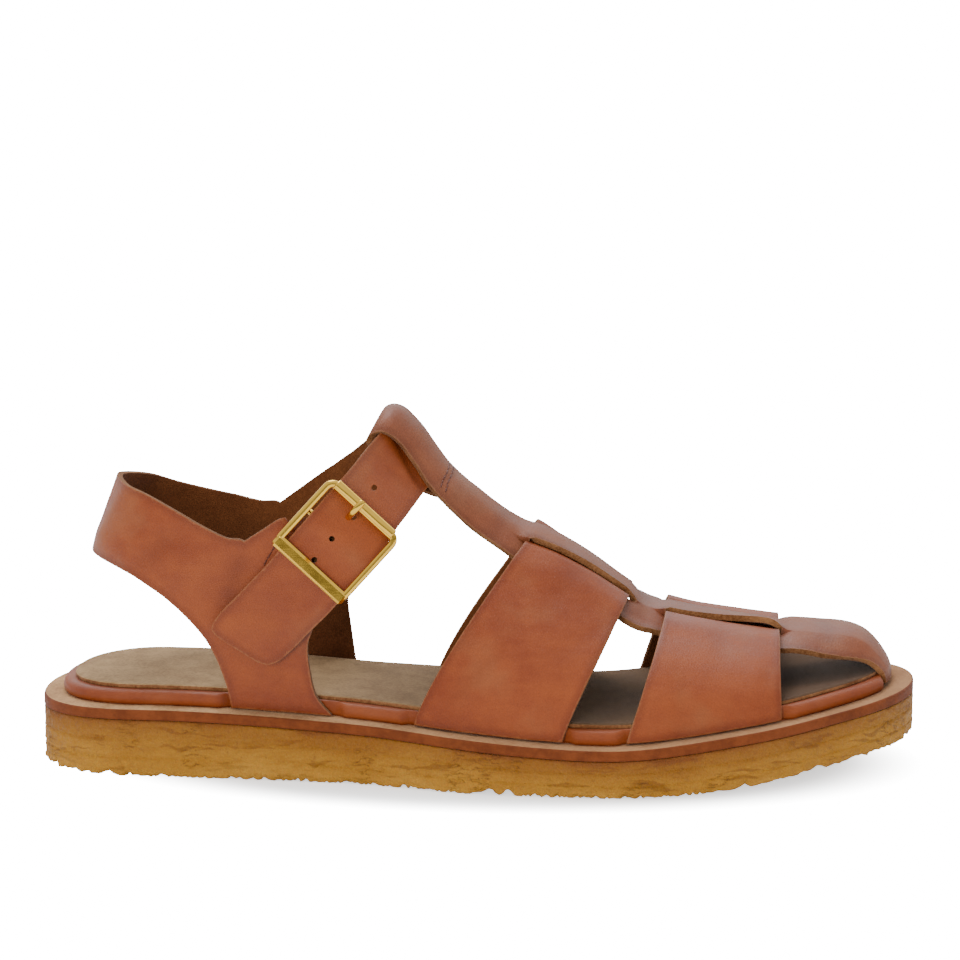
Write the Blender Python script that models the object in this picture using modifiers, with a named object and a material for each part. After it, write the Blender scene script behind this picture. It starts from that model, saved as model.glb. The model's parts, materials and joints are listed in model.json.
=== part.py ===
"""Fisherman sandal, right shoe, built from named sizes in millimetres."""
import bpy
import bmesh
import math
import numpy as np
from mathutils import Vector

# Overall sizes
MM = 0.001
SOLE_LENGTH = 268.0
HEEL_ROUND = 34.0
TOE_ROUND = 62.0
HEEL_FULLNESS = 2.25
TOE_FULLNESS = 2.3
PLAN_SHIFT_X = 0.0
PLAN_SHIFT_Y = -2.04
GAP = 0.3
WALL = 2.0

# Plan of the sole: middle line and half width at shares of the length
PLAN_COLUMNS = ("share", "middle", "half_width")
PLAN_ROWS = (
    (0.00, -2.0, 35.1),
    (0.10, 0.2, 35.1),
    (0.22, -0.8, 34.8),
    (0.36, -3.5, 34.0),
    (0.50, -6.4, 38.7),
    (0.62, -4.0, 43.2),
    (0.72, 0.5, 46.5),
    (0.82, 5.2, 46.8),
    (0.92, 8.7, 42.8),
    (1.00, 8.3, 39.1),
)

# Height of the rim and of the walking face at shares of the length
RIM_ROWS = ((0.0, 20.2), (0.15, 20.5), (0.4, 18.0), (0.65, 14.3), (0.85, 20.4), (1.0, 25.8))
FLOOR_ROWS = ((0.0, 0.0), (0.6, 0.0), (0.69, 0.2), (0.77, 1.6), (0.86, 5.0), (1.0, 10.4))
RUNNER_THICK = 3.0
FOOTBED_INSET = 6.0
FOOTBED_THICK = 4.1
SOCK_INSET = 9.6
SOCK_THICK = 1.0

# Side profiles, half of a section: across share, height share, outward millimetres
CREPE_PROFILE = (
    (0.0, 1.0, -0.8), (0.5, 1.0, -0.8), (1.0, 1.0, -0.8), (1.0, 0.95, -0.2), (1.0, 0.70, 0.0),
    (1.0, 0.66, -0.35), (1.0, 0.62, 0.0), (1.0, 0.36, 0.0), (1.0, 0.32, -0.35), (1.0, 0.28, 0.0),
    (1.0, 0.09, -0.1), (1.0, 0.0, -1.2), (0.5, 0.0, -1.2), (0.0, 0.0, -1.2),
)
RUNNER_PROFILE = (
    (0.0, 1.0, -0.7), (0.5, 1.0, -0.7), (1.0, 1.0, -0.7), (1.0, 0.75, -0.1), (1.0, 0.2, -0.1),
    (1.0, 0.0, -0.6), (0.5, 0.0, -0.6), (0.0, 0.0, -0.6),
)
FOOTBED_PROFILE = (
    (0.0, 1.0, -2.2), (0.45, 1.0, -2.2), (0.85, 1.0, -2.2), (1.0, 1.0, -2.2), (1.0, 0.92, -1.0),
    (1.0, 0.68, -0.2), (1.0, 0.35, 0.0), (1.0, 0.0, -0.5), (0.5, 0.0, -0.5), (0.0, 0.0, -0.5),
)
SOCK_PROFILE = (
    (0.0, 1.0, -0.3), (0.45, 1.0, -0.3), (0.85, 1.0, -0.3), (1.0, 1.0, -0.3), (1.0, 0.0, 0.0),
    (0.5, 0.0, 0.0), (0.0, 0.0, 0.0),
)

# Foot form under the front straps: one row per section
FORM_COLUMNS = ("crest_x", "crest_z", "crest_y", "foot_x", "lean", "fullness")
FORM_ROWS = (
    (-12.0, 91.0, 2.0, -44.0, 1.25, 0.0),
    (-4.0, 85.6, 2.2, -37.0, 1.25, 0.0),
    (2.4, 80.8, 2.5, -31.5, 1.25, 0.0),
    (9.5, 76.0, 3.0, -24.0, 1.25, 0.0),
    (17.0, 71.4, 3.5, -16.0, 1.25, 0.05),
    (26.0, 66.8, 4.2, -3.0, 1.25, 0.2),
    (34.0, 61.8, 5.0, 9.5, 1.25, 0.4),
    (42.0, 55.8, 6.0, 22.0, 1.20, 0.6),
    (48.0, 51.4, 6.5, 31.0, 1.15, 0.75),
    (54.0, 48.0, 7.0, 41.5, 1.10, 0.85),
    (60.0, 46.2, 7.5, 51.0, 1.00, 0.95),
    (75.0, 43.4, 8.5, 73.0, 1.00, 1.0),
    (85.0, 41.9, 9.0, 85.0, 1.00, 1.0),
    (93.0, 41.0, 9.5, 93.6, 1.00, 1.0),
    (108.0, 41.2, 10.0, 108.0, 1.00, 1.0),
)
# Section shape from crest to foot: breadth share, instep height, forefoot height
SECTION_ROWS = (
    (0.0, 1.0, 1.0), (0.2, 0.975, 0.99), (0.4, 0.88, 0.95), (0.55, 0.76, 0.88),
    (0.7, 0.60, 0.77), (0.85, 0.38, 0.58), (0.95, 0.18, 0.34), (1.0, 0.0, 0.0),
)
FOOT_INSET = 7.0
FOOT_LIFT = 0.5

# Centre strap, from its foot at the toe over the instep and round the ankle strap
CENTRE_COLUMNS = ("x", "z", "y", "tilt", "radius", "near", "far")
CENTRE_ROWS = (
    (126.4, 26.3, 10.0, 86.0, 45.0, 13.5, 12.0),
    (126.0, 29.6, 10.0, 80.0, 44.0, 14.0, 12.0),
    (123.8, 33.5, 10.0, 62.0, 42.0, 14.8, 12.0),
    (121.0, 36.8, 10.0, 44.0, 40.0, 16.0, 12.0),
    (117.6, 39.1, 10.0, 25.0, 38.0, 17.2, 12.0),
    (112.5, 40.8, 10.0, 8.0, 38.0, 18.5, 11.5),
    (104.0, 41.3, 9.9, 0.0, 42.0, 19.5, 10.5),
    (93.0, 41.0, 9.5, 3.0, 48.0, 19.0, 9.5),
    (84.0, 42.0, 9.0, 7.0, 50.0, 18.0, 9.0),
    (75.0, 43.4, 8.5, 10.0, 45.0, 18.0, 9.0),
    (66.0, 45.1, 8.0, 12.0, 42.0, 18.0, 9.0),
    (58.0, 46.7, 7.3, 16.0, 38.0, 18.0, 9.0),
    (52.0, 49.0, 6.8, 24.0, 30.0, 18.0, 9.0),
    (46.0, 52.9, 6.3, 30.0, 26.0, 18.0, 9.0),
    (40.0, 57.4, 5.7, 32.0, 24.0, 18.0, 9.0),
    (34.0, 61.8, 5.0, 31.0, 22.0, 18.0, 9.0),
    (25.0, 67.3, 4.1, 30.0, 19.0, 18.0, 9.0),
    (17.0, 71.4, 3.5, 30.0, 18.0, 18.0, 9.0),
    (9.5, 76.0, 3.0, 34.0, 16.5, 16.6, 9.5),
    (2.4, 80.8, 2.5, 38.0, 16.5, 15.8, 10.0),
    (-4.0, 85.5, 2.2, 44.0, 16.5, 15.6, 10.5),
    (-9.3, 89.9, 2.0, 48.1, 16.5, 16.0, 11.0),
    (-12.9, 94.0, 2.0, 48.1, 16.5, 16.0, 11.5),
    (-16.6, 98.2, 2.0, 48.1, 16.5, 16.0, 11.5),
    (-20.3, 102.4, 2.0, 48.1, 16.5, 16.0, 11.5),
    (-23.7, 106.4, 2.0, 48.1, 16.5, 16.0, 10.0),
    (-25.7, 108.1, 2.0, 48.1, 16.4, 15.8, 9.0),
    (-27.9, 108.0, 2.0, 48.1, 15.6, 15.3, 8.6),
    (-28.3, 105.9, 2.0, 48.1, 14.2, 14.5, 8.6),
    (-26.4, 103.7, 2.0, 48.1, 13.5, 14.0, 9.4),
    (-22.5, 99.9, 2.0, 48.1, 13.5, 14.0, 10.8),
    (-18.8, 95.8, 2.0, 48.1, 13.5, 14.0, 10.8),
    (-15.1, 91.7, 2.0, 48.1, 13.5, 14.0, 10.8),
    (-11.6, 87.6, 2.0, 48.1, 13.8, 14.0, 10.8),
    (-8.4, 85.0, 2.1, 46.0, 14.2, 13.6, 10.2),
    (-4.9, 82.9, 2.2, 44.0, 15.0, 13.0, 9.6),
    (-2.0, 80.9, 2.3, 40.0, 15.0, 12.6, 9.0),
)
NEAR_SLIT = -10.5
FAR_SLIT = 1.0

# Raised and lowered strips where the bands pass through the centre strap
WEAVE_START = (17.6, 58.0)
WEAVE_END = (46.8, 92.5)
BAND_LIFT_ROWS = (
    (-40.0, 0.0), (-28.0, 0.4), (-18.5, 1.3), (-12.5, 1.3), (-8.8, -1.15), (-5.0, -1.15),
    (-0.7, -1.15), (3.0, 1.8), (9.5, 1.9), (18.0, 0.4), (28.0, 0.0),
)
STRAP_LIFT_ROWS = (
    (-19.0, -1.15), (-12.4, -1.15), (-8.9, 1.15), (-5.0, 1.25), (-0.6, 1.15), (2.9, -1.15), (10.0, -1.15),
)
# Sag of the near edge of the centre strap along the crest line
SAG_ROWS = (
    (-30.0, 0.0), (8.0, 0.0), (17.0, 0.0), (44.0, -0.6), (52.0, -3.6), (57.0, -2.2), (64.0, -0.6),
    (88.0, -0.6), (96.0, -3.2), (110.0, -2.6), (120.0, -1.0), (127.0, 0.0),
)

# Ankle strap: height axis and width axis at the crest, then one row per station
ANKLE_CREST = (-17.7, 2.0, 96.85)
ANKLE_TILT = 48.1
ANKLE_COLUMNS = ("y", "drop", "shift", "turn", "upper", "lower")
ANKLE_FAR_ROWS = (
    (33.4, 38.0, 0.0, 0.0, 12.6, 10.9),
    (32.0, 31.0, 0.0, 0.0, 11.8, 10.9),
    (29.6, 24.5, 0.0, 0.0, 11.2, 10.9),
    (26.2, 18.5, 0.0, 0.0, 10.9, 10.9),
    (22.4, 13.5, 0.0, 0.0, 10.9, 10.9),
    (18.2, 9.6, 0.0, 0.0, 10.9, 10.9),
    (14.4, 6.3, 0.0, 0.0, 10.9, 10.9),
    (11.0, 3.3, 0.0, 0.0, 10.9, 10.9),
    (7.0, 0.9, 0.0, 0.0, 10.9, 10.9),
    (2.0, 0.0, 0.0, 0.0, 10.9, 10.9),
    (-3.0, 0.9, 0.0, 0.3, 10.9, 10.9),
    (-7.0, 3.3, 0.1, 0.7, 10.9, 10.9),
    (-10.8, 6.3, 0.4, 1.4, 10.9, 10.9),
    (-15.4, 9.6, 0.9, 2.6, 10.9, 10.9),
    (-20.4, 12.7, 1.5, 4.0, 10.9, 10.9),
    (-25.4, 15.9, 2.1, 5.4, 10.9, 10.9),
)
# Free end beyond the buckle, lying on the quarter
FREE_END_ROWS = (
    (0.0, 50.0, 6.4, 6.6, 10.9, 10.9),
    (0.0, 57.0, 6.9, 6.2, 10.9, 10.9),
    (0.0, 63.0, 7.4, 6.5, 10.9, 10.9),
    (0.0, 68.0, 7.7, 9.0, 10.9, 10.6),
    (0.0, 71.5, 8.0, 12.0, 10.4, 9.8),
    (0.0, 73.7, 8.1, 14.0, 9.0, 8.2),
    (0.0, 74.5, 8.2, 14.5, 6.8, 6.0),
)

# Buckle, placed on the near side of the ankle
BUCKLE_CENTRE = (-38.2, -31.0, 73.4)
BUCKLE_TURN = 40.8
BUCKLE_LEAN = 10.0
FRAME_ALONG = 24.6
FRAME_ACROSS = 27.0
BAR_WIDE = 2.3
BAR_THICK = 2.0
CENTRE_BAR_RADIUS = 0.9
CENTRE_BAR_DEPTH = -1.2
ROLLER_RADIUS = 1.75
ROLLER_BORE = 1.2
ROLLER_HEIGHT = 4.3
REST_BAR_HEIGHT = 4.7
# Ankle strap through the buckle: station along the strap, height over the quarter
THREAD_ROWS = ((17.0, 0.6), (12.0, 1.1), (7.0, 2.0), (2.5, 3.2), (-2.0, 3.3), (-7.0, 2.7), (-12.0, 2.35))

# Quarter: lower edge and upper edge from the near leg round the heel to the far leg
QUARTER_COLUMNS = ("lower_x", "lower_z", "upper_x", "upper_z")
NEAR_QUARTER_ROWS = (
    (-71.2, 0.0, -40.7, 0.0),
    (-72.4, 26.7, -45.4, 25.0),
    (-74.1, 32.7, -47.2, 33.5),
    (-76.0, 38.0, -47.5, 41.0),
    (-78.3, 42.3, -46.0, 47.5),
)
NEAR_JOIN_ROWS = (
    (-80.8, 45.6, -51.0, 53.7),
    (-83.5, 48.5, -56.0, 59.9),
    (-87.0, 51.7, -61.0, 66.1),
)
NEAR_HEEL_ROWS = (
    (-91.0, 54.8, -66.0, 72.3),
    (-95.5, 57.4, -71.5, 73.3),
    (-101.0, 60.1, -78.5, 76.4),
    (-107.0, 62.2, -87.5, 80.8),
    (-112.5, 63.4, -96.5, 84.4),
    (-116.3, 64.0, -104.5, 86.3),
)
BACK_ROW = (-118.0, 64.2, -110.6, 86.2)
FAR_HEEL_ROWS = (
    (-116.3, 63.8, -104.5, 83.4),
    (-112.5, 63.0, -96.5, 79.6),
    (-107.0, 61.6, -88.0, 76.8),
    (-101.0, 59.6, -80.0, 74.8),
    (-95.5, 57.0, -72.5, 72.9),
    (-91.0, 54.4, -66.0, 72.4),
)
FAR_JOIN_ROWS = (
    (-87.0, 51.4, -60.6, 65.8),
    (-83.5, 48.2, -55.2, 59.2),
    (-80.8, 45.2, -49.8, 52.6),
)
FAR_QUARTER_ROWS = (
    (-78.3, 41.8, -44.4, 46.0),
    (-76.0, 37.5, -44.0, 40.5),
    (-74.1, 32.2, -42.6, 33.5),
    (-72.4, 26.2, -41.2, 26.0),
    (-71.2, 0.0, -40.0, 0.0),
)
QUARTER_BREADTH_ROWS = ((15.0, 28.0), (45.0, 32.8), (75.0, 33.0), (100.0, 31.5))
HEEL_BACK_ROWS = ((15.0, -120.0), (64.0, -118.0), (75.0, -114.6), (87.0, -110.5), (100.0, -107.0))
HEEL_CURVE_LENGTH = 46.0
HEEL_CURVE_FULLNESS = 2.15
# Chape, from the quarter to the centre bar: upper edge and lower edge
CHAPE_ROWS = (
    (-60.6, 75.0, -43.4, 50.6),
    (-55.8, 77.4, -40.3, 55.0),
)
# Chape near the bar: station along the strap, height, half widths
CHAPE_BAR_ROWS = (
    (-7.5, 0.0, 12.6, 10.6),
    (-5.0, 0.2, 11.8, 10.2),
    (-3.0, 0.6, 10.2, 10.0),
)
FOLD_RADIUS = 2.25
FOLD_ANGLES = (120.0, 90.0, 60.0, 30.0, 0.0, -30.0, -60.0, -90.0)
CHAPE_TAIL_ROWS = ((-3.5, -3.3), (-7.0, -2.4), (-11.0, -1.6))

# Colours: red, green, blue, roughness, metal
LEATHER = (0.36, 0.11, 0.045, 0.55, 0.0)
SUEDE = (0.40, 0.29, 0.18, 0.9, 0.0)
WRAP = (0.33, 0.10, 0.045, 0.6, 0.0)
RUNNER = (0.42, 0.25, 0.13, 0.75, 0.0)
CREPE = (0.48, 0.25, 0.06, 0.8, 0.0)
GOLD = (0.86, 0.62, 0.22, 0.2, 1.0)


def clear_scene():
    """Remove every object that is already in the file."""
    for item in list(bpy.data.objects):
        bpy.data.objects.remove(item, do_unlink=True)


def slopes(xs, ys):
    """Slopes of a shape keeping cubic through the rows."""
    steps = np.diff(xs)
    rises = np.diff(ys, axis=0) / steps
    inner = np.zeros(len(xs))
    for index in range(1, len(xs) - 1):
        before = rises[index - 1]
        after = rises[index]
        if before * after > 0.0:
            first = 2.0 * steps[index] + steps[index - 1]
            second = steps[index] + 2.0 * steps[index - 1]
            inner[index] = (first + second) / (first / before + second / after)
    inner[0] = rises[0]
    inner[-1] = rises[-1]
    return inner


def through(xs, ys, at):
    """Value at a place of the smooth curve through table rows."""
    xs = np.asarray(xs, float)
    ys = np.asarray(ys, float)
    at = np.clip(np.asarray(at, float), xs[0], xs[-1])
    lean = slopes(xs, ys)
    index = np.clip(np.searchsorted(xs, at, side="right") - 1, 0, len(xs) - 2)
    step = xs[index + 1] - xs[index]
    share = (at - xs[index]) / step
    square = share * share
    cube = square * share
    start = (2.0 * cube - 3.0 * square + 1.0) * ys[index]
    start_slope = (cube - 2.0 * square + share) * step * lean[index]
    end = (3.0 * square - 2.0 * cube) * ys[index + 1]
    end_slope = (cube - square) * step * lean[index + 1]
    return start + start_slope + end + end_slope


def rounded(rows, at):
    """Position on a rounded line through rows, by running row number."""
    rows = np.asarray(rows, float)
    at = float(np.clip(at, 0.0, len(rows) - 1.0))
    index = min(int(at), len(rows) - 2)
    share = at - index
    first = rows[max(index - 1, 0)]
    second = rows[index]
    third = rows[index + 1]
    fourth = rows[min(index + 2, len(rows) - 1)]
    lean_in = (third - first) * 0.5
    lean_out = (fourth - second) * 0.5
    square = share * share
    cube = square * share
    total = (2.0 * cube - 3.0 * square + 1.0) * second
    total = total + (cube - 2.0 * square + share) * lean_in
    total = total + (3.0 * square - 2.0 * cube) * third
    return total + (cube - square) * lean_out


def ease(value, low, high):
    """Soft step from zero at low to one at high."""
    share = min(max((value - low) / (high - low), 0.0), 1.0)
    return share * share * (3.0 - 2.0 * share)


PLAN = np.array(PLAN_ROWS)
FORM = np.array(FORM_ROWS)
SECTION = np.array(SECTION_ROWS)
RIM = np.array(RIM_ROWS)
FLOOR = np.array(FLOOR_ROWS)


def share_of(x):
    """Share of the sole length at a place."""
    return np.asarray(x, float) / SOLE_LENGTH + 0.5


def rim_height(x):
    """Height of the pale rim."""
    return through(RIM[:, 0], RIM[:, 1], share_of(x))


def floor_height(x):
    """Height of the walking face, rising to the toe."""
    return through(FLOOR[:, 0], FLOOR[:, 1], share_of(x))


def outline(x, side, inset):
    """Side coordinate of the sole outline, moved inward by the inset."""
    half = SOLE_LENGTH / 2.0
    reach = half - inset
    middle = through(PLAN[:, 0], PLAN[:, 1], share_of(x))
    width = through(PLAN[:, 0], PLAN[:, 2], share_of(x)) - inset
    heel = np.clip((HEEL_ROUND - inset - (reach + x)) / (HEEL_ROUND - inset), 0.0, 1.0)
    toe = np.clip((TOE_ROUND - inset - (reach - x)) / (TOE_ROUND - inset), 0.0, 1.0)
    closing = (1.0 - heel ** HEEL_FULLNESS) ** (1.0 / HEEL_FULLNESS)
    closing = closing * (1.0 - toe ** TOE_FULLNESS) ** (1.0 / TOE_FULLNESS)
    return middle + side * width * closing


def plan_stations(inset, heel_steps=9, toe_steps=11, body_steps=13):
    """Stations along the sole, closer together in the round heel and toe."""
    half = SOLE_LENGTH / 2.0 - inset
    heel = HEEL_ROUND - inset
    toe = TOE_ROUND - inset
    first = [-half + heel * (1.0 - math.cos(0.5 * math.pi * n / heel_steps)) for n in range(heel_steps)]
    body = list(np.linspace(-half + heel, half - toe, body_steps))
    last = [half - toe * (1.0 - math.cos(0.5 * math.pi * n / toe_steps)) for n in range(toe_steps)]
    return first + body + last[::-1]


def material(name, colour):
    """Plain material of one sub-part."""
    made = bpy.data.materials.new(name)
    made.use_nodes = True
    shader = made.node_tree.nodes["Principled BSDF"]
    shader.inputs["Base Color"].default_value = (colour[0], colour[1], colour[2], 1.0)
    shader.inputs["Roughness"].default_value = colour[3]
    shader.inputs["Metallic"].default_value = colour[4]
    return made


def collection(name, hidden=False):
    """Collection for the parts or for the cutters."""
    made = bpy.data.collections.new(name)
    bpy.context.scene.collection.children.link(made)
    made.hide_render = hidden
    return made


def grid_object(name, points, group, paint, closed_across=False):
    """Bend a created grid to rows of points and make it an object."""
    rows = len(points)
    columns = len(points[0])
    shape = bmesh.new()
    bmesh.ops.create_grid(shape, x_segments=rows - 1, y_segments=columns - 1, size=1.0)
    for vertex in shape.verts:
        row = int(round((vertex.co.x + 1.0) * 0.5 * (rows - 1)))
        column = int(round((vertex.co.y + 1.0) * 0.5 * (columns - 1)))
        place = points[row][column]
        vertex.co = Vector((place[0], place[1] + PLAN_SHIFT_Y, place[2])) * MM
    if closed_across:
        bmesh.ops.remove_doubles(shape, verts=shape.verts[:], dist=0.00002)
        bmesh.ops.recalc_face_normals(shape, faces=shape.faces[:])
        if shape.calc_volume(signed=True) < 0.0:
            bmesh.ops.reverse_faces(shape, faces=shape.faces[:])
    mesh = bpy.data.meshes.new(name)
    shape.to_mesh(mesh)
    shape.free()
    made = bpy.data.objects.new(name, mesh)
    group.objects.link(made)
    if paint:
        made.data.materials.append(paint)
    return made


def plate(name, inset, profile, low, high, group, paint):
    """Closed plate that follows the sole plan with a profiled side."""
    around = [(row[0], row[1], row[2], -1.0) for row in profile]
    around += [(row[0], row[1], row[2], 1.0) for row in profile[::-1]][1:]
    points = []
    for x in plan_stations(inset):
        ring = []
        for across, level, outward, side in around:
            pull = (SOLE_LENGTH / 2.0 - inset + outward) / (SOLE_LENGTH / 2.0 - inset)
            place = x * pull
            edge = float(outline(x, side, inset))
            middle = float(through(PLAN[:, 0], PLAN[:, 1], share_of(x)))
            reach = abs(edge - middle)
            closing = min(reach / 4.0, 1.0)
            y = middle + side * across * max(reach + outward * closing, 0.0)
            ring.append((place, y, low(place) + (high(place) - low(place)) * level))
        points.append(ring)
    return grid_object(name, points, group, paint, closed_across=True)


def section_line(crest_x, side, count=49):
    """Points of one form section from crest to foot."""
    values = [float(through(FORM[:, 0], FORM[:, n], crest_x)) for n in range(1, 6)]
    crest_z, crest_y, foot_x, lean, fullness = values
    foot_y = float(outline(foot_x, side, FOOT_INSET))
    foot_z = float(rim_height(foot_x)) + FOOT_LIFT
    knots = np.linspace(0.0, 1.0, len(SECTION))
    at = np.linspace(0.0, 1.0, count)
    breadth = through(knots, SECTION[:, 0], at)
    shape = SECTION[:, 1] * (1.0 - fullness) + SECTION[:, 2] * fullness
    height = through(knots, shape, at)
    line = np.zeros((count, 3))
    line[:, 0] = foot_x + (crest_x - foot_x) * np.power(np.clip(height, 0.0, 1.0), lean)
    line[:, 1] = crest_y + (foot_y - crest_y) * breadth
    line[:, 2] = foot_z + (crest_z - foot_z) * height
    run = np.concatenate([[0.0], np.cumsum(np.linalg.norm(np.diff(line, axis=0), axis=1))])
    return line, run


def form_point(crest_x, travel):
    """Point on the form at a distance from the crest, minus near and plus far."""
    side = -1.0 if travel < 0.0 else 1.0
    line, run = section_line(crest_x, side)
    return np.array([np.interp(abs(travel), run, line[:, n]) for n in range(3)])


def normals_of(points):
    """Outward directions of a net of points."""
    net = np.array(points, float)
    along = np.gradient(net, axis=0)
    across = np.gradient(net, axis=1)
    normal = np.cross(along, across)
    size = np.linalg.norm(normal, axis=2, keepdims=True)
    normal = normal / np.maximum(size, 1e-9)
    return net, normal


def lifted(points, lifts, outward):
    """Move a net of points along its outward directions."""
    net, normal = normals_of(points)
    toward = np.sum(normal * outward(net), axis=2, keepdims=True)
    normal = np.where(toward < 0.0, -normal, normal)
    return net + normal * np.array(lifts)[:, :, None]


def from_axis(net):
    """Rough outward direction of the front straps."""
    away = np.zeros_like(net)
    away[:, :, 1] = net[:, :, 1] - 4.0
    away[:, :, 2] = net[:, :, 2] - 10.0
    return away


def centre_point(row, travel):
    """Point of the centre strap from its table row and the distance across."""
    x, z, y, tilt, radius = row[:5]
    turn = travel / radius
    fall = radius * (1.0 - math.cos(turn))
    lean = math.radians(tilt)
    return np.array([x - math.sin(lean) * fall, y + radius * math.sin(turn), z - math.cos(lean) * fall])


def weave_share(x):
    """How far the centre strap is parted at a place along the crest."""
    share = 0.0
    for start, end in zip(WEAVE_START, WEAVE_END):
        share = max(share, ease(x, start - 4.0, start + 2.0) * (1.0 - ease(x, end - 2.0, end + 4.0)))
    return share


def centre_strap(group, paint, steps=3):
    """Centre strap as one bent grid with raised and lowered strips."""
    sag = np.array(SAG_ROWS)
    lift = np.array(STRAP_LIFT_ROWS)
    points = []
    lifts = []
    count = (len(CENTRE_ROWS) - 1) * steps + 1
    for number in range(count):
        at = number / steps
        row = rounded(CENTRE_ROWS, at)
        front = at < 20.0
        travels = [-row[5], -14.5, -12.0, -9.2, -5.0, -0.6, 2.6, row[6]]
        if not front:
            travels = list(np.linspace(-row[5], row[6], len(travels)))
        on_form = ease(row[0], -6.0, 6.0) * (1.0 - ease(row[0], 95.0, 107.0)) if front else 0.0
        line = []
        rise = []
        for travel in travels:
            point = centre_point(row, travel)
            if on_form > 0.0:
                point = point * (1.0 - on_form) + form_point(row[0], travel) * on_form
            line.append(point)
            value = 0.0
            if front:
                value = weave_share(row[0]) * float(through(lift[:, 0], lift[:, 1], travel))
                near = min(max((NEAR_SLIT - travel) / 8.0, 0.0), 1.0)
                value += near * float(through(sag[:, 0], sag[:, 1], row[0]))
            rise.append(value)
        points.append(line)
        lifts.append(rise)
    net = lifted(points, lifts, from_axis)
    return thicken(grid_object("centre_strap", net, group, paint))


def band(name, start, end, group, paint, across_steps=5):
    """Cross band from the near foot through the slits to the far foot."""
    lift = np.array(BAND_LIFT_ROWS)
    middle = [-22.0, -18.0, -14.0, -12.2, -9.0, -5.0, -0.8, 2.4, 6.0, 10.0, 15.0, 20.0]
    points = []
    lifts = []
    for crest_x in np.linspace(start, end, across_steps + 1):
        near = section_line(crest_x, -1.0)[1][-1]
        far = section_line(crest_x, 1.0)[1][-1]
        travels = list(np.linspace(-near, middle[0], 7))[:-1] + middle
        travels += list(np.linspace(middle[-1], far, 5))[1:]
        points.append([form_point(crest_x, travel) for travel in travels])
        lifts.append([float(through(lift[:, 0], lift[:, 1], travel)) for travel in travels])
    net = lifted(points, lifts, from_axis)
    return thicken(grid_object(name, net, group, paint))


def thicken(item, thickness=WALL):
    """Give a bent sheet its wall thickness."""
    shell = item.modifiers.new("Wall", "SOLIDIFY")
    shell.thickness = thickness * MM
    shell.offset = 0.0
    shell.use_even_offset = False
    shell.use_quality_normals = True
    return item


def heel_point(x, z, side):
    """Point on the quarter wall; x is the place along the foot."""
    heights = np.array(QUARTER_BREADTH_ROWS)
    backs = np.array(HEEL_BACK_ROWS)
    breadth = float(through(heights[:, 0], heights[:, 1], z))
    back = float(through(backs[:, 0], backs[:, 1], z))
    curve = min(max((HEEL_CURVE_LENGTH - (x - back)) / HEEL_CURVE_LENGTH, 0.0), 1.0)
    closing = (1.0 - curve ** HEEL_CURVE_FULLNESS) ** (1.0 / HEEL_CURVE_FULLNESS)
    upper = side * breadth * closing
    foot = float(outline(np.array(x), side, FOOT_INSET))
    blend = ease(z, 19.0, 50.0)
    return np.array([max(x, back), foot * (1.0 - blend) + upper * blend, z])


def heel_girth(x, z, side):
    """Distance round the heel from its middle to a place on the wall."""
    backs = np.array(HEEL_BACK_ROWS)
    back = float(through(backs[:, 0], backs[:, 1], z))
    depth = max(x - back, 0.0)
    angle = math.acos(1.0 - min(depth / HEEL_CURVE_LENGTH, 1.0))
    return side * (angle + max(depth / HEEL_CURVE_LENGTH - 1.0, 0.0))


def heel_place(girth, z):
    """Point on the quarter wall from the distance round the heel."""
    backs = np.array(HEEL_BACK_ROWS)
    back = float(through(backs[:, 0], backs[:, 1], z))
    size = abs(girth)
    if size < math.pi / 2.0:
        depth = HEEL_CURVE_LENGTH * (1.0 - math.cos(size))
    else:
        depth = HEEL_CURVE_LENGTH * (1.0 + size - math.pi / 2.0)
    return heel_point(back + depth, z, 1.0 if girth > 0.0 else -1.0)


def quarter_line(row, side, columns):
    """Points across the quarter from its lower edge to its upper edge."""
    lower_x, lower_z, upper_x, upper_z = row
    if lower_z == 0.0:
        lower_z = float(rim_height(lower_x)) + FOOT_LIFT
    if upper_z == 0.0:
        upper_z = float(rim_height(upper_x)) + FOOT_LIFT
    start = heel_girth(lower_x, lower_z, side)
    end = heel_girth(upper_x, upper_z, side)
    line = []
    for share in np.linspace(0.0, 1.0, columns):
        girth = start + (end - start) * share
        height = lower_z + (upper_z - lower_z) * share
        line.append(heel_place(girth, height))
    return line


def finer(rows, steps):
    """Rows of a table with rounded rows put between them."""
    count = (len(rows) - 1) * steps + 1
    return [rounded(rows, number / steps) for number in range(count)]


def quarter_rows(columns=6):
    """All rows of the quarter, with the row numbers of the two joins."""
    near = list(NEAR_QUARTER_ROWS)
    near[0] = fill_foot(near[0])
    far = list(FAR_QUARTER_ROWS)
    far[-1] = fill_foot(far[-1])
    near_all = near + list(NEAR_JOIN_ROWS) + list(NEAR_HEEL_ROWS)
    far_all = list(FAR_HEEL_ROWS) + list(FAR_JOIN_ROWS) + far
    rows = [quarter_line(row, -1.0, columns) for row in near_all]
    rows.append(quarter_line(BACK_ROW, 1.0, columns))
    rows += [quarter_line(row, 1.0, columns) for row in far_all]
    near_join = (len(near) - 1, len(near) + len(NEAR_JOIN_ROWS))
    far_first = len(near_all) + len(FAR_HEEL_ROWS)
    far_join = (far_first, far_first + len(FAR_JOIN_ROWS) + 1)
    return rows, near_join, far_join


def fill_foot(row):
    """Put the foot height of a leg into its table row."""
    lower_x, _, upper_x, _ = row
    lower_z = float(rim_height(lower_x)) + FOOT_LIFT
    upper_z = float(rim_height(upper_x)) + FOOT_LIFT
    return (lower_x, lower_z, upper_x, upper_z)


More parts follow.
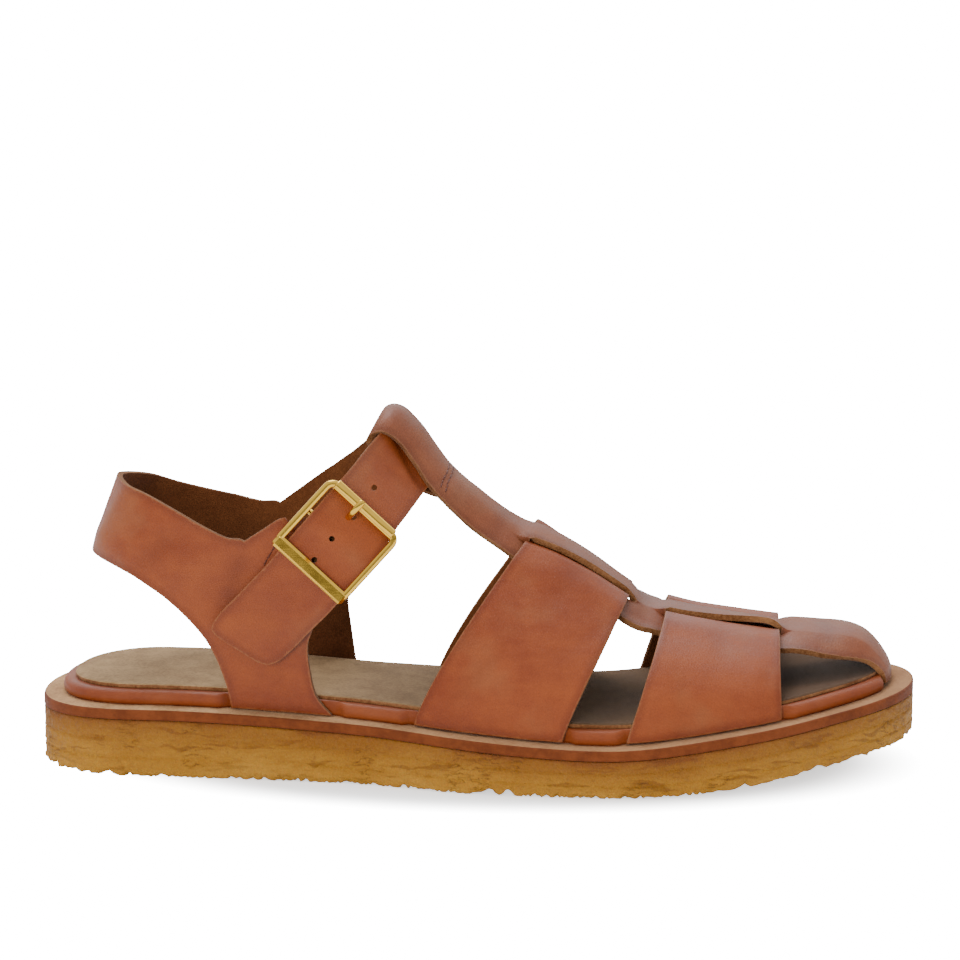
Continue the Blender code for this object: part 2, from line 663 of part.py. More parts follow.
def buckle_axes():
    """Origin and the along, across and outward directions of the buckle."""
    turn = math.radians(BUCKLE_TURN)
    lean = math.radians(BUCKLE_LEAN)
    along = Vector((math.sin(turn) * math.cos(lean), math.sin(lean), math.cos(turn) * math.cos(lean)))
    across = Vector((math.cos(turn), 0.0, -math.sin(turn)))
    outward = across.cross(along).normalized()
    if outward.y > 0.0:
        outward = -outward
    return Vector(BUCKLE_CENTRE), along, across, outward


def buckle_point(station, across_place, height):
    """Point given along, across and out of the buckle."""
    origin, along, across, outward = buckle_axes()
    place = origin + along * station + across * across_place + outward * height
    return np.array((place.x, place.y, place.z))


def ankle_row(row, columns):
    """Points across the ankle strap from its upper to its lower edge."""
    y, drop, shift, turn, upper, lower = row
    tilt = math.radians(ANKLE_TILT)
    rise = np.array((math.sin(tilt), 0.0, math.cos(tilt)))
    width = np.array((math.cos(tilt), 0.0, -math.sin(tilt)))
    centre = np.array((ANKLE_CREST[0], y, ANKLE_CREST[2])) - rise * drop + width * shift
    angle = math.radians(ANKLE_TILT - turn)
    lean = np.array((math.cos(angle), 0.0, -math.sin(angle)))
    return [centre + lean * place for place in np.linspace(-upper, lower, columns)]


def quarter(group, paint, columns=6):
    """Quarter, heel strap, chape and ankle strap as one joined sheet."""
    rows, near_join, far_join = quarter_rows(columns)
    shell = grid_object("quarter", rows, group, paint)
    near_row = [rows[n][-1] for n in range(near_join[0], near_join[1] + 1)][::-1]
    far_row = [rows[n][-1] for n in range(far_join[0], far_join[1] + 1)]
    count = len(near_row)
    chape = [near_row]
    for upper_x, upper_z, lower_x, lower_z in CHAPE_ROWS:
        line = []
        for share in np.linspace(0.0, 1.0, count):
            x = upper_x + (lower_x - upper_x) * share
            z = upper_z + (lower_z - upper_z) * share
            line.append(heel_point(x, z, -1.0))
        chape.append(line)
    for station, height, upper, lower in CHAPE_BAR_ROWS:
        chape.append([buckle_point(station, place, height) for place in np.linspace(-upper, lower, count)])
    for angle in FOLD_ANGLES:
        turn = math.radians(angle)
        station = FOLD_RADIUS * math.cos(turn)
        height = CENTRE_BAR_DEPTH + FOLD_RADIUS * math.sin(turn)
        chape.append([buckle_point(station, place, height) for place in np.linspace(-10.0, 10.0, count)])
    for station, height in CHAPE_TAIL_ROWS:
        chape.append([buckle_point(station, place, height) for place in np.linspace(-9.8, 9.8, count)])
    strap = [far_row]
    strap += [ankle_row(row, count) for row in ANKLE_FAR_ROWS]
    for station, height in THREAD_ROWS:
        strap.append([buckle_point(station, place, height) for place in np.linspace(-10.9, 10.9, count)])
    for row in FREE_END_ROWS:
        line = []
        for place in ankle_row(row, count):
            wall = heel_point(place[0], place[2], -1.0)
            line.append(np.array((place[0], wall[1] - WALL - GAP - 0.1, place[2])))
        strap.append(line)
    chape_sheet = grid_object("chape", chape, group, paint)
    strap_sheet = grid_object("ankle_strap", strap, group, paint)
    joined = join_sheets("quarter", [shell, chape_sheet, strap_sheet], group, paint)
    return thicken(joined)


def join_sheets(name, items, group, paint):
    """Join sheets along their shared edges into one sheet."""
    shape = bmesh.new()
    for item in items:
        shape.from_mesh(item.data)
    bmesh.ops.remove_doubles(shape, verts=shape.verts[:], dist=0.00002)
    bmesh.ops.recalc_face_normals(shape, faces=shape.faces[:])
    for item in items:
        bpy.data.objects.remove(item, do_unlink=True)
    mesh = bpy.data.meshes.new(name)
    shape.to_mesh(mesh)
    shape.free()
    made = bpy.data.objects.new(name, mesh)
    group.objects.link(made)
    made.data.materials.append(paint)
    return made


def bake(item):
    """Turn the modifiers of an object into its own mesh."""
    graph = bpy.context.evaluated_depsgraph_get()
    graph.update()
    mesh = bpy.data.meshes.new_from_object(item.evaluated_get(graph), depsgraph=graph)
    item.modifiers.clear()
    item.data = mesh
    return item


def combine(item, other, operation):
    """Join one solid to another or cut it with another."""
    step = item.modifiers.new("Combine", "BOOLEAN")
    step.operation = operation
    step.solver = "EXACT"
    step.object = other
    bake(item)
    return item


def foot_notch(name, start, end, side, group):
    """Cutter that lets a strap foot down beside the footbed."""
    points = []
    for x in np.linspace(start - 1.3, end + 1.9, 7):
        base = float(rim_height(x))
        inner = float(outline(x, side, FOOT_INSET + 0.5 * WALL + 1.7))
        outer = float(outline(x, side, 2.0))
        points.append([(x, inner, base - 2.0), (x, outer, base - 2.0), (x, outer, base + 9.0),
                       (x, inner, base + 9.0)])
    shape = bmesh.new()
    bmesh.ops.create_cube(shape, size=1.0)
    bmesh.ops.subdivide_edges(shape, edges=[e for e in shape.edges if is_lengthwise(e)], cuts=5)
    for vertex in shape.verts:
        row = int(round((vertex.co.x + 0.5) * 6.0))
        corner = (0 if vertex.co.y < 0.0 else 1) if vertex.co.z < 0.0 else (3 if vertex.co.y < 0.0 else 2)
        place = points[row][corner]
        vertex.co = Vector((place[0], place[1] + PLAN_SHIFT_Y, place[2])) * MM
    bmesh.ops.recalc_face_normals(shape, faces=shape.faces[:])
    return finish_shape(name, shape, group, None)


def is_lengthwise(edge):
    """Whether a cube edge runs along the foot."""
    first, second = edge.verts
    return abs(first.co.x - second.co.x) > 0.5


def toe_notch(name, group):
    """Cutter that lets the toe end of the centre strap down at the footbed edge."""
    shape = bmesh.new()
    bmesh.ops.create_cube(shape, size=1.0)
    centre = Vector((131.0 - 3.1 - 3.0, 9.2 + PLAN_SHIFT_Y, 27.0))
    size = Vector((12.0, 30.0, 9.0))
    bmesh.ops.subdivide_edges(shape, edges=[e for e in shape.edges if is_crosswise(e)], cuts=7)
    for vertex in shape.verts:
        across = vertex.co.y * size.y
        bow = across * across / 90.0
        vertex.co = (centre + Vector((vertex.co.x * size.x - bow + 5.2, across, vertex.co.z * size.z))) * MM
    bmesh.ops.recalc_face_normals(shape, faces=shape.faces[:])
    return finish_shape(name, shape, group, None)


def is_crosswise(edge):
    """Whether a cube edge runs across the foot."""
    first, second = edge.verts
    return abs(first.co.y - second.co.y) > 0.5


def finish_shape(name, shape, group, paint):
    """Make an object from a worked shape."""
    bmesh.ops.recalc_face_normals(shape, faces=shape.faces[:])
    if shape.calc_volume(signed=True) < 0.0:
        bmesh.ops.reverse_faces(shape, faces=shape.faces[:])
    mesh = bpy.data.meshes.new(name)
    shape.to_mesh(mesh)
    shape.free()
    made = bpy.data.objects.new(name, mesh)
    group.objects.link(made)
    if paint:
        made.data.materials.append(paint)
    return made


def local_to_world(shape):
    """Move a shape worked in buckle sizes to its place on the ankle."""
    for vertex in shape.verts:
        place = buckle_point(vertex.co.x, vertex.co.y, vertex.co.z)
        vertex.co = Vector((place[0], place[1] + PLAN_SHIFT_Y, place[2])) * MM


def local_tube(shape, path, radius, sides=12, closed=False, flat=1.0):
    """Round bar along a path in buckle sizes, worked with a spun circle grid."""
    count = len(path)
    part = bmesh.new()
    bmesh.ops.create_grid(part, x_segments=count - 1, y_segments=sides, size=1.0)
    for vertex in part.verts:
        row = int(round((vertex.co.x + 1.0) * 0.5 * (count - 1)))
        turn = math.pi * (vertex.co.y + 1.0)
        before = Vector(path[max(row - 1, 0)])
        after = Vector(path[min(row + 1, count - 1)])
        if closed:
            before = Vector(path[row - 1 if row > 0 else count - 2])
            after = Vector(path[row + 1 if row < count - 1 else 1])
        ahead = (after - before).normalized()
        side = Vector((0.0, 0.0, 1.0)).cross(ahead)
        if side.length < 0.2:
            side = Vector((0.0, 1.0, 0.0))
        side.normalize()
        up = ahead.cross(side).normalized()
        offset = side * (math.cos(turn) * radius) + up * (math.sin(turn) * radius * flat)
        vertex.co = Vector(path[row]) + offset
    bmesh.ops.remove_doubles(part, verts=part.verts[:], dist=0.001)
    if not closed:
        bmesh.ops.holes_fill(part, edges=[e for e in part.edges if e.is_boundary], sides=0)
    bmesh.ops.recalc_face_normals(part, faces=part.faces[:])
    mesh = bpy.data.meshes.new("bar")
    part.to_mesh(mesh)
    part.free()
    shape.from_mesh(mesh)
    bpy.data.meshes.remove(mesh)


def frame_path():
    """Middle line of the buckle frame, rounded at its corners."""
    half_long = FRAME_ALONG / 2.0 - BAR_WIDE / 2.0
    half_wide = FRAME_ACROSS / 2.0 - BAR_WIDE / 2.0
    corner = 1.6
    path = []
    for quarter_turn in range(4):
        sign_long = 1.0 if quarter_turn in (0, 3) else -1.0
        sign_wide = 1.0 if quarter_turn in (0, 1) else -1.0
        for step in range(4):
            turn = math.radians(90.0 * quarter_turn + 30.0 * step)
            x = sign_long * (half_long - corner) + corner * math.cos(turn)
            y = sign_wide * (half_wide - corner) + corner * math.sin(turn)
            height = REST_BAR_HEIGHT + (ROLLER_HEIGHT - REST_BAR_HEIGHT) * (x + half_long) / (2.0 * half_long)
            path.append((x, y, height))
    path.append(path[0])
    return path


def buckle_frame(group, paint):
    """Frame with its lugs and the centre bar between them."""
    shape = bmesh.new()
    local_tube(shape, frame_path(), BAR_WIDE / 2.0, sides=10, closed=True, flat=BAR_THICK / BAR_WIDE)
    local_to_world(shape)
    frame = finish_shape("buckle_frame", shape, group, paint)
    half_wide = FRAME_ACROSS / 2.0 - BAR_WIDE / 2.0
    shape = bmesh.new()
    bar = [(0.0, -half_wide - 0.7, CENTRE_BAR_DEPTH), (0.0, half_wide + 0.7, CENTRE_BAR_DEPTH)]
    local_tube(shape, bar, CENTRE_BAR_RADIUS, sides=12)
    local_to_world(shape)
    centre = finish_shape("centre_bar", shape, group, paint)
    for side in (-1.0, 1.0):
        shape = bmesh.new()
        bmesh.ops.create_cube(shape, size=1.0)
        for vertex in shape.verts:
            low = CENTRE_BAR_DEPTH - 1.1
            high = 0.5 * (REST_BAR_HEIGHT + ROLLER_HEIGHT)
            vertex.co = Vector((vertex.co.x * 2.2, side * half_wide + vertex.co.y * 1.7,
                                low + (vertex.co.z + 0.5) * (high - low)))
        local_to_world(shape)
        lug = finish_shape("lug", shape, group, paint)
        combine(centre, lug, "UNION")
        bpy.data.objects.remove(lug, do_unlink=True)
    combine(frame, centre, "UNION")
    bpy.data.objects.remove(centre, do_unlink=True)
    return frame


def rest_bar(frame, group, paint):
    """Broad flat bar at the lower end of the frame."""
    half_long = FRAME_ALONG / 2.0
    shape = bmesh.new()
    bmesh.ops.create_cube(shape, size=1.0)
    for vertex in shape.verts:
        x = -half_long + 1.6 + vertex.co.x * 3.2
        y = vertex.co.y * (FRAME_ACROSS - 0.6)
        z = REST_BAR_HEIGHT + 0.05 + vertex.co.z * 2.0
        vertex.co = Vector((x, y, z))
    bmesh.ops.bevel(shape, geom=shape.edges[:], offset=0.55, segments=2, affect="EDGES", profile=0.5)
    local_to_world(shape)
    bar = finish_shape("rest_bar", shape, group, paint)
    combine(frame, bar, "UNION")
    bpy.data.objects.remove(bar, do_unlink=True)
    return frame


def roller(group, paint):
    """Loose tube on the upper bar of the frame."""
    shape = bmesh.new()
    half = FRAME_ACROSS / 2.0 - BAR_WIDE - 0.45
    profile = ((ROLLER_BORE + 0.05, -half), (ROLLER_RADIUS, -half), (ROLLER_RADIUS, half),
               (ROLLER_BORE + 0.05, half))
    centre_long = FRAME_ALONG / 2.0 - BAR_WIDE / 2.0
    sides = 20
    bmesh.ops.create_grid(shape, x_segments=4, y_segments=sides, size=1.0)
    for vertex in shape.verts:
        row = int(round((vertex.co.x + 1.0) * 2.0)) % 4
        turn = math.pi * (vertex.co.y + 1.0)
        radius, place = profile[row]
        vertex.co = Vector((centre_long + radius * math.cos(turn), place,
                            ROLLER_HEIGHT + radius * math.sin(turn)))
    bmesh.ops.remove_doubles(shape, verts=shape.verts[:], dist=0.001)
    bmesh.ops.recalc_face_normals(shape, faces=shape.faces[:])
    local_to_world(shape)
    return finish_shape("buckle_roller", shape, group, paint)


PRONG_SIDE = -2.0
# Prong: station along the strap, height
PRONG_ROWS = ((0.9, 0.5), (2.6, 0.75), (4.3, 1.4), (5.7, 2.7), (7.1, 4.6), (8.5, 6.3), (9.9, 7.1),
              (11.3, 7.35), (12.8, 7.3), (13.5, 7.15))


def prong_solid(name, radius, ring_outer, ring_inner, ring_half, group, paint):
    """Prong with a ring round the centre bar."""
    shape = bmesh.new()
    path = [(station, PRONG_SIDE, height) for station, height in PRONG_ROWS]
    local_tube(shape, path, radius, sides=8, flat=0.85)
    local_to_world(shape)
    pin = finish_shape(name, shape, group, paint)
    shape = bmesh.new()
    profile = ((ring_inner, -ring_half), (ring_outer, -ring_half), (ring_outer, ring_half),
               (ring_inner, ring_half))
    sides = 20
    bmesh.ops.create_grid(shape, x_segments=4, y_segments=sides, size=1.0)
    for vertex in shape.verts:
        row = int(round((vertex.co.x + 1.0) * 2.0)) % 4
        turn = math.pi * (vertex.co.y + 1.0)
        reach, place = profile[row]
        vertex.co = Vector((reach * math.cos(turn), PRONG_SIDE + place,
                            CENTRE_BAR_DEPTH + reach * math.sin(turn)))
    bmesh.ops.remove_doubles(shape, verts=shape.verts[:], dist=0.001)
    bmesh.ops.recalc_face_normals(shape, faces=shape.faces[:])
    local_to_world(shape)
    ring = finish_shape(name + "_ring", shape, group, paint)
    combine(pin, ring, "UNION")
    bpy.data.objects.remove(ring, do_unlink=True)
    return pin


def slot_cutter(name, group):
    """Cutter for the prong slot in the fold of the chape."""
    shape = bmesh.new()
    bmesh.ops.create_cube(shape, size=1.0)
    for vertex in shape.verts:
        x = -2.7 + (vertex.co.x + 0.5) * 7.2
        y = PRONG_SIDE + vertex.co.y * 3.0
        z = CENTRE_BAR_DEPTH - 4.2 + (vertex.co.z + 0.5) * 6.6
        vertex.co = Vector((x, y, z))
    local_to_world(shape)
    return finish_shape(name, shape, group, None)


def round_edges(item, width, segments, angle=40.0):
    """Small rounding on the sharp edges of a solid."""
    step = item.modifiers.new("Rounding", "BEVEL")
    step.width = width * MM
    step.segments = segments
    step.limit_method = "ANGLE"
    step.angle_limit = math.radians(angle)
    return item


def build():
    """Build every solid of the sandal."""
    clear_scene()
    parts = collection("fisherman_sandal")
    cutters = collection("cutters", hidden=True)
    leather = material("strap_leather", LEATHER)
    gold = material("buckle_metal", GOLD)

    plate("outsole", 0.0, CREPE_PROFILE, lambda x: float(floor_height(x)),
          lambda x: float(rim_height(x)) - RUNNER_THICK - GAP, parts, material("crepe", CREPE))
    plate("midsole", 0.0, RUNNER_PROFILE, lambda x: float(rim_height(x)) - RUNNER_THICK,
          lambda x: float(rim_height(x)), parts, material("runner", RUNNER))
    footbed = plate("footbed", FOOTBED_INSET, FOOTBED_PROFILE, lambda x: float(rim_height(x)) + GAP,
                    lambda x: float(rim_height(x)) + FOOTBED_THICK + GAP, parts, material("wrap", WRAP))
    plate("sock", SOCK_INSET, SOCK_PROFILE, lambda x: float(rim_height(x)) + FOOTBED_THICK + 2.0 * GAP,
          lambda x: float(rim_height(x)) + FOOTBED_THICK + 2.0 * GAP + SOCK_THICK, parts,
          material("sock_suede", SUEDE))
    notches = []
    for number, (start, end) in enumerate(((-71.2, -40.0), (-16.0, 29.6), (48.0, 93.4))):
        for side in (-1.0, 1.0):
            notches.append(foot_notch("notch_%d_%d" % (number, int(side)), start, end, side, cutters))
    notches.append(toe_notch("toe_notch", cutters))
    for item in notches:
        combine(footbed, item, "DIFFERENCE")

    upper = bake(quarter(parts, leather))
    for strap in (centre_strap(parts, leather), band("instep_band", WEAVE_START[0], WEAVE_END[0], parts, leather),
                  band("forefoot_band", WEAVE_START[1], WEAVE_END[1], parts, leather)):
        bake(strap)
        combine(upper, strap, "UNION")
        bpy.data.objects.remove(strap, do_unlink=True)
    upper.name = "upper"
    upper.data.name = "upper"

    frame = buckle_frame(parts, gold)
    rest_bar(frame, parts, gold)
    roller(parts, gold)
    prong_solid("buckle_prong", 0.85, 2.0, 1.15, 1.0, parts, gold)
    passage = prong_solid("prong_passage", 1.25, 2.4, 0.6, 1.4, cutters, None)
    combine(upper, passage, "DIFFERENCE")
    combine(upper, slot_cutter("prong_slot", cutters), "DIFFERENCE")
    for item in cutters.objects:
        item.hide_render = True
        item.display_type = "WIRE"


build()
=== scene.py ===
import json
import logging
import math
from dataclasses import dataclass, field
from enum import Enum
from typing import Any, Callable, Sequence

import bmesh
import bpy
import numpy as np
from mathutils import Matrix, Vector, kdtree, noise

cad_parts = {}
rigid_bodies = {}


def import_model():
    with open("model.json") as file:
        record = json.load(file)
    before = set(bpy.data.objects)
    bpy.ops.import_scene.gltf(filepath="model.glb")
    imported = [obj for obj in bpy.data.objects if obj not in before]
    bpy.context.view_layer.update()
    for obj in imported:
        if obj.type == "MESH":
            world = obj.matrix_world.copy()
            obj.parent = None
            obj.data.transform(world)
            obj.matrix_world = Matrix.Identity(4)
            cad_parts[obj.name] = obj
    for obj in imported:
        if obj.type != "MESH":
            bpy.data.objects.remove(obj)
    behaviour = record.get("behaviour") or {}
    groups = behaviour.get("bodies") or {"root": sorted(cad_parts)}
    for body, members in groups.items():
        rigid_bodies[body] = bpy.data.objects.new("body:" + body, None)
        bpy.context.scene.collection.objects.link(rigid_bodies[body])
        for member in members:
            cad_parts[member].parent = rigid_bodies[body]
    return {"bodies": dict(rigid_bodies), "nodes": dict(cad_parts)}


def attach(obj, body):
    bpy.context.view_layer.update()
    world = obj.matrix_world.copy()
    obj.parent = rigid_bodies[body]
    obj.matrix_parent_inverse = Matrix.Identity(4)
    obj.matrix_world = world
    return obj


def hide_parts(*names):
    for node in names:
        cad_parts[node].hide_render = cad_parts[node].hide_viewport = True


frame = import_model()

LOG = logging.getLogger("sandal")
MM = 0.001
SIDE_SHIFT = -2.04
# points nearer than these, in metres, are joined: seams between sheets, and the closing lines of a plate
SEAM_REACH = 0.00003
PLATE_REACH = 0.000002
# longest distance from a cut edge that is stored, in millimetres
EDGE_REACH = 12.0


class Side(Enum):
    """Side of the foot, as the sign of its place across."""

    NEAR = -1.0
    FAR = 1.0


class Face(Enum):
    """Material slots of a cut piece of leather."""

    GRAIN = 0
    CUT = 1
    FLESH = 2


# ---- curves through table rows


def through(xs: Any, ys: Any, at: Any) -> np.ndarray:
    """Values of the smooth curve that keeps the shape of the table rows.

    Args:
        xs: Places of the rows.
        ys: Values of the rows.
        at: Places to read.

    Returns:
        The value at each place.
    """
    xs = np.asarray(xs, float)
    ys = np.asarray(ys, float)
    at = np.clip(np.asarray(at, float), xs[0], xs[-1])
    steps = np.diff(xs)
    rises = np.diff(ys) / steps
    lean = np.zeros(len(xs))
    lean[0] = rises[0]
    lean[-1] = rises[-1]
    for row in range(1, len(xs) - 1):
        before, after = rises[row - 1], rises[row]
        if before * after > 0.0:
            first = 2.0 * steps[row] + steps[row - 1]
            second = steps[row] + 2.0 * steps[row - 1]
            lean[row] = (first + second) / (first / before + second / after)
    row = np.clip(np.searchsorted(xs, at, side="right") - 1, 0, len(xs) - 2)
    step = xs[row + 1] - xs[row]
    share = (at - xs[row]) / step
    square = share * share
    cube = square * share
    value = (2.0 * cube - 3.0 * square + 1.0) * ys[row] + (3.0 * square - 2.0 * cube) * ys[row + 1]
    return value + (cube - 2.0 * square + share) * step * lean[row] + (cube - square) * step * lean[row + 1]


def read_table(table: Sequence[Sequence[float]], at: Any, column: int = 1) -> np.ndarray:
    """Read one column of a table at places given by its first column.

    Args:
        table: Rows of the table.
        at: Places to read.
        column: Column to read.

    Returns:
        The value at each place.
    """
    rows = np.asarray(table, float)
    return through(rows[:, 0], rows[:, column], at)


def refine(net: Any, steps: int, axis: int = 0) -> np.ndarray:
    """Put rounded rows between the rows of a net.

    Args:
        net: Rows of numbers or points.
        steps: New rows for each old one.
        axis: Direction to refine.

    Returns:
        The finer net, through all the old rows.
    """
    net = np.moveaxis(np.asarray(net, float), axis, 0)
    at = np.arange((len(net) - 1) * steps + 1) / steps
    row = np.minimum(at.astype(int), len(net) - 2)
    share = (at - row).reshape((-1,) + (1,) * (net.ndim - 1))
    first = net[np.maximum(row - 1, 0)]
    second = net[row]
    third = net[row + 1]
    fourth = net[np.minimum(row + 2, len(net) - 1)]
    square = share * share
    cube = square * share
    made = (2.0 * cube - 3.0 * square + 1.0) * second + (3.0 * square - 2.0 * cube) * third
    made = made + (cube - 2.0 * square + share) * (third - first) * 0.5 + (cube - square) * (fourth - second) * 0.5
    return np.moveaxis(made, 0, axis)


def ease(value: Any, low: float, high: float) -> np.ndarray:
    """Soft step from zero at low to one at high."""
    share = np.clip((np.asarray(value, float) - low) / (high - low), 0.0, 1.0)
    return share * share * (3.0 - 2.0 * share)


# ---- sizes of the last and the sole, in millimetres


@dataclass(frozen=True)
class LastSizes:
    """Plan, heights and foot form that every piece is worked out from."""

    length: float = 268.0
    heel_round: float = 34.0
    toe_round: float = 62.0
    heel_fullness: float = 2.25
    toe_fullness: float = 2.3
    foot_inset: float = 7.0
    foot_lift: float = 0.5
    # share of the length, middle line, half width
    plan: tuple = (
        (0.00, -2.0, 35.1), (0.10, 0.2, 35.1), (0.22, -0.8, 34.8), (0.36, -3.5, 34.0), (0.50, -6.4, 38.7),
        (0.62, -4.0, 43.2), (0.72, 0.5, 46.5), (0.82, 5.2, 46.8), (0.92, 8.7, 42.8), (1.00, 8.3, 39.1),
    )
    rim: tuple = ((0.0, 20.2), (0.15, 20.5), (0.4, 18.0), (0.65, 14.3), (0.85, 20.4), (1.0, 25.8))
    floor: tuple = ((0.0, 0.0), (0.6, 0.0), (0.69, 0.2), (0.77, 1.6), (0.86, 5.0), (1.0, 10.4))
    # crest x, crest z, crest y, foot x, lean, fullness
    form: tuple = (
        (-12.0, 91.0, 2.0, -44.0, 1.25, 0.0), (-4.0, 85.6, 2.2, -37.0, 1.25, 0.0),
        (2.4, 80.8, 2.5, -31.5, 1.25, 0.0), (9.5, 76.0, 3.0, -24.0, 1.25, 0.0),
        (17.0, 71.4, 3.5, -16.0, 1.25, 0.05), (26.0, 66.8, 4.2, -3.0, 1.25, 0.2),
        (34.0, 61.8, 5.0, 9.5, 1.25, 0.4), (42.0, 55.8, 6.0, 22.0, 1.20, 0.6),
        (48.0, 51.4, 6.5, 31.0, 1.15, 0.75), (54.0, 48.0, 7.0, 41.5, 1.10, 0.85),
        (60.0, 46.2, 7.5, 51.0, 1.00, 0.95), (75.0, 43.4, 8.5, 73.0, 1.00, 1.0),
        (85.0, 41.9, 9.0, 85.0, 1.00, 1.0), (93.0, 41.0, 9.5, 93.6, 1.00, 1.0),
        (108.0, 41.2, 10.0, 108.0, 1.00, 1.0),
    )
    # breadth share, instep height, forefoot height
    section: tuple = (
        (0.0, 1.0, 1.0), (0.2, 0.975, 0.99), (0.4, 0.88, 0.95), (0.55, 0.76, 0.88),
        (0.7, 0.60, 0.77), (0.85, 0.38, 0.58), (0.95, 0.18, 0.34), (1.0, 0.0, 0.0),
    )
    heel_breadth: tuple = ((15.0, 28.0), (45.0, 32.8), (75.0, 33.0), (100.0, 31.5))
    heel_back: tuple = ((15.0, -120.0), (64.0, -118.0), (75.0, -114.6), (87.0, -110.5), (100.0, -107.0))
    heel_curve: float = 46.0
    heel_curve_fullness: float = 2.15


class Last:
    """The shape that the sole and the straps follow."""

    def __init__(self, sizes: LastSizes) -> None:
        """Keep the sizes."""
        self.sizes = sizes

    def rim(self, x: Any) -> np.ndarray:
        """Height of the pale rim at a place along the sole."""
        return read_table(self.sizes.rim, np.asarray(x, float) / self.sizes.length + 0.5)

    def ground(self, x: Any) -> np.ndarray:
        """Height of the walking face at a place along the sole."""
        return read_table(self.sizes.floor, np.asarray(x, float) / self.sizes.length + 0.5)

    def middle(self, x: Any) -> np.ndarray:
        """Middle line of the sole at a place along it."""
        return read_table(self.sizes.plan, np.asarray(x, float) / self.sizes.length + 0.5, 1)

    def outline(self, x: Any, side: float, inset: float) -> np.ndarray:
        """Side coordinate of the sole outline, moved inward.

        Args:
            x: Places along the sole.
            side: Minus one for the near side, plus one for the far side.
            inset: How far inward.

        Returns:
            The place across the sole.
        """
        sizes = self.sizes
        x = np.asarray(x, float)
        reach = sizes.length / 2.0 - inset
        width = read_table(sizes.plan, x / sizes.length + 0.5, 2) - inset
        heel = np.clip((sizes.heel_round - inset - (reach + x)) / (sizes.heel_round - inset), 0.0, 1.0)
        toe = np.clip((sizes.toe_round - inset - (reach - x)) / (sizes.toe_round - inset), 0.0, 1.0)
        closing = (1.0 - heel ** sizes.heel_fullness) ** (1.0 / sizes.heel_fullness)
        closing = closing * (1.0 - toe ** sizes.toe_fullness) ** (1.0 / sizes.toe_fullness)
        return self.middle(x) + side * width * closing

    def section(self, crest_x: float, side: float, count: int = 161) -> tuple[np.ndarray, np.ndarray]:
        """One section of the foot form from its crest to its foot.

        Args:
            crest_x: Place of the section at the crest.
            side: Minus one for the near side, plus one for the far side.
            count: Points on the section.

        Returns:
            The points, and the distance of each from the crest.
        """
        sizes = self.sizes
        values = [float(read_table(sizes.form, crest_x, column)) for column in range(1, 6)]
        crest_z, crest_y, foot_x, lean, fullness = values
        foot_y = float(self.outline(foot_x, side, sizes.foot_inset))
        foot_z = float(self.rim(foot_x)) + sizes.foot_lift
        shape = np.array(sizes.section)
        knots = np.linspace(0.0, 1.0, len(shape))
        at = np.linspace(0.0, 1.0, count)
        breadth = through(knots, shape[:, 0], at)
        height = through(knots, shape[:, 1] * (1.0 - fullness) + shape[:, 2] * fullness, at)
        line = np.stack([
            foot_x + (crest_x - foot_x) * np.power(np.clip(height, 0.0, 1.0), lean),
            crest_y + (foot_y - crest_y) * breadth,
            foot_z + (crest_z - foot_z) * height,
        ], axis=1)
        run = np.concatenate([[0.0], np.cumsum(np.linalg.norm(np.diff(line, axis=0), axis=1))])
        return line, run

    def form_points(self, crest_x: float, travels: np.ndarray) -> np.ndarray:
        """Points on the form at distances from the crest, minus near and plus far."""
        near_line, near_run = self.section(crest_x, Side.NEAR.value)
        far_line, far_run = self.section(crest_x, Side.FAR.value)
        near = np.stack([np.interp(-travels, near_run, near_line[:, n]) for n in range(3)], axis=1)
        far = np.stack([np.interp(travels, far_run, far_line[:, n]) for n in range(3)], axis=1)
        return np.where((travels < 0.0)[:, None], near, far)

    def heel_point(self, x: float, z: float, side: float) -> np.ndarray:
        """Point on the quarter wall at a place along the foot and a height."""
        sizes = self.sizes
        breadth = float(read_table(sizes.heel_breadth, z))
        back = float(read_table(sizes.heel_back, z))
        curve = min(max((sizes.heel_curve - (x - back)) / sizes.heel_curve, 0.0), 1.0)
        closing = (1.0 - curve ** sizes.heel_curve_fullness) ** (1.0 / sizes.heel_curve_fullness)
        foot = float(self.outline(x, side, sizes.foot_inset))
        blend = float(ease(z, 19.0, 50.0))
        return np.array([max(x, back), foot * (1.0 - blend) + side * breadth * closing * blend, z])

    def heel_girth(self, x: float, z: float, side: float) -> float:
        """Distance round the heel from its middle to a place on the wall."""
        back = float(read_table(self.sizes.heel_back, z))
        depth = max(x - back, 0.0) / self.sizes.heel_curve
        return side * (math.acos(1.0 - min(depth, 1.0)) + max(depth - 1.0, 0.0))

    def heel_place(self, girth: float, z: float) -> np.ndarray:
        """Point on the quarter wall from the distance round the heel."""
        back = float(read_table(self.sizes.heel_back, z))
        size = abs(girth)
        depth = 1.0 - math.cos(size) if size < math.pi / 2.0 else 1.0 + size - math.pi / 2.0
        return self.heel_point(back + depth * self.sizes.heel_curve, z, 1.0 if girth > 0.0 else -1.0)


# ---- shader node groups shared by the finishes


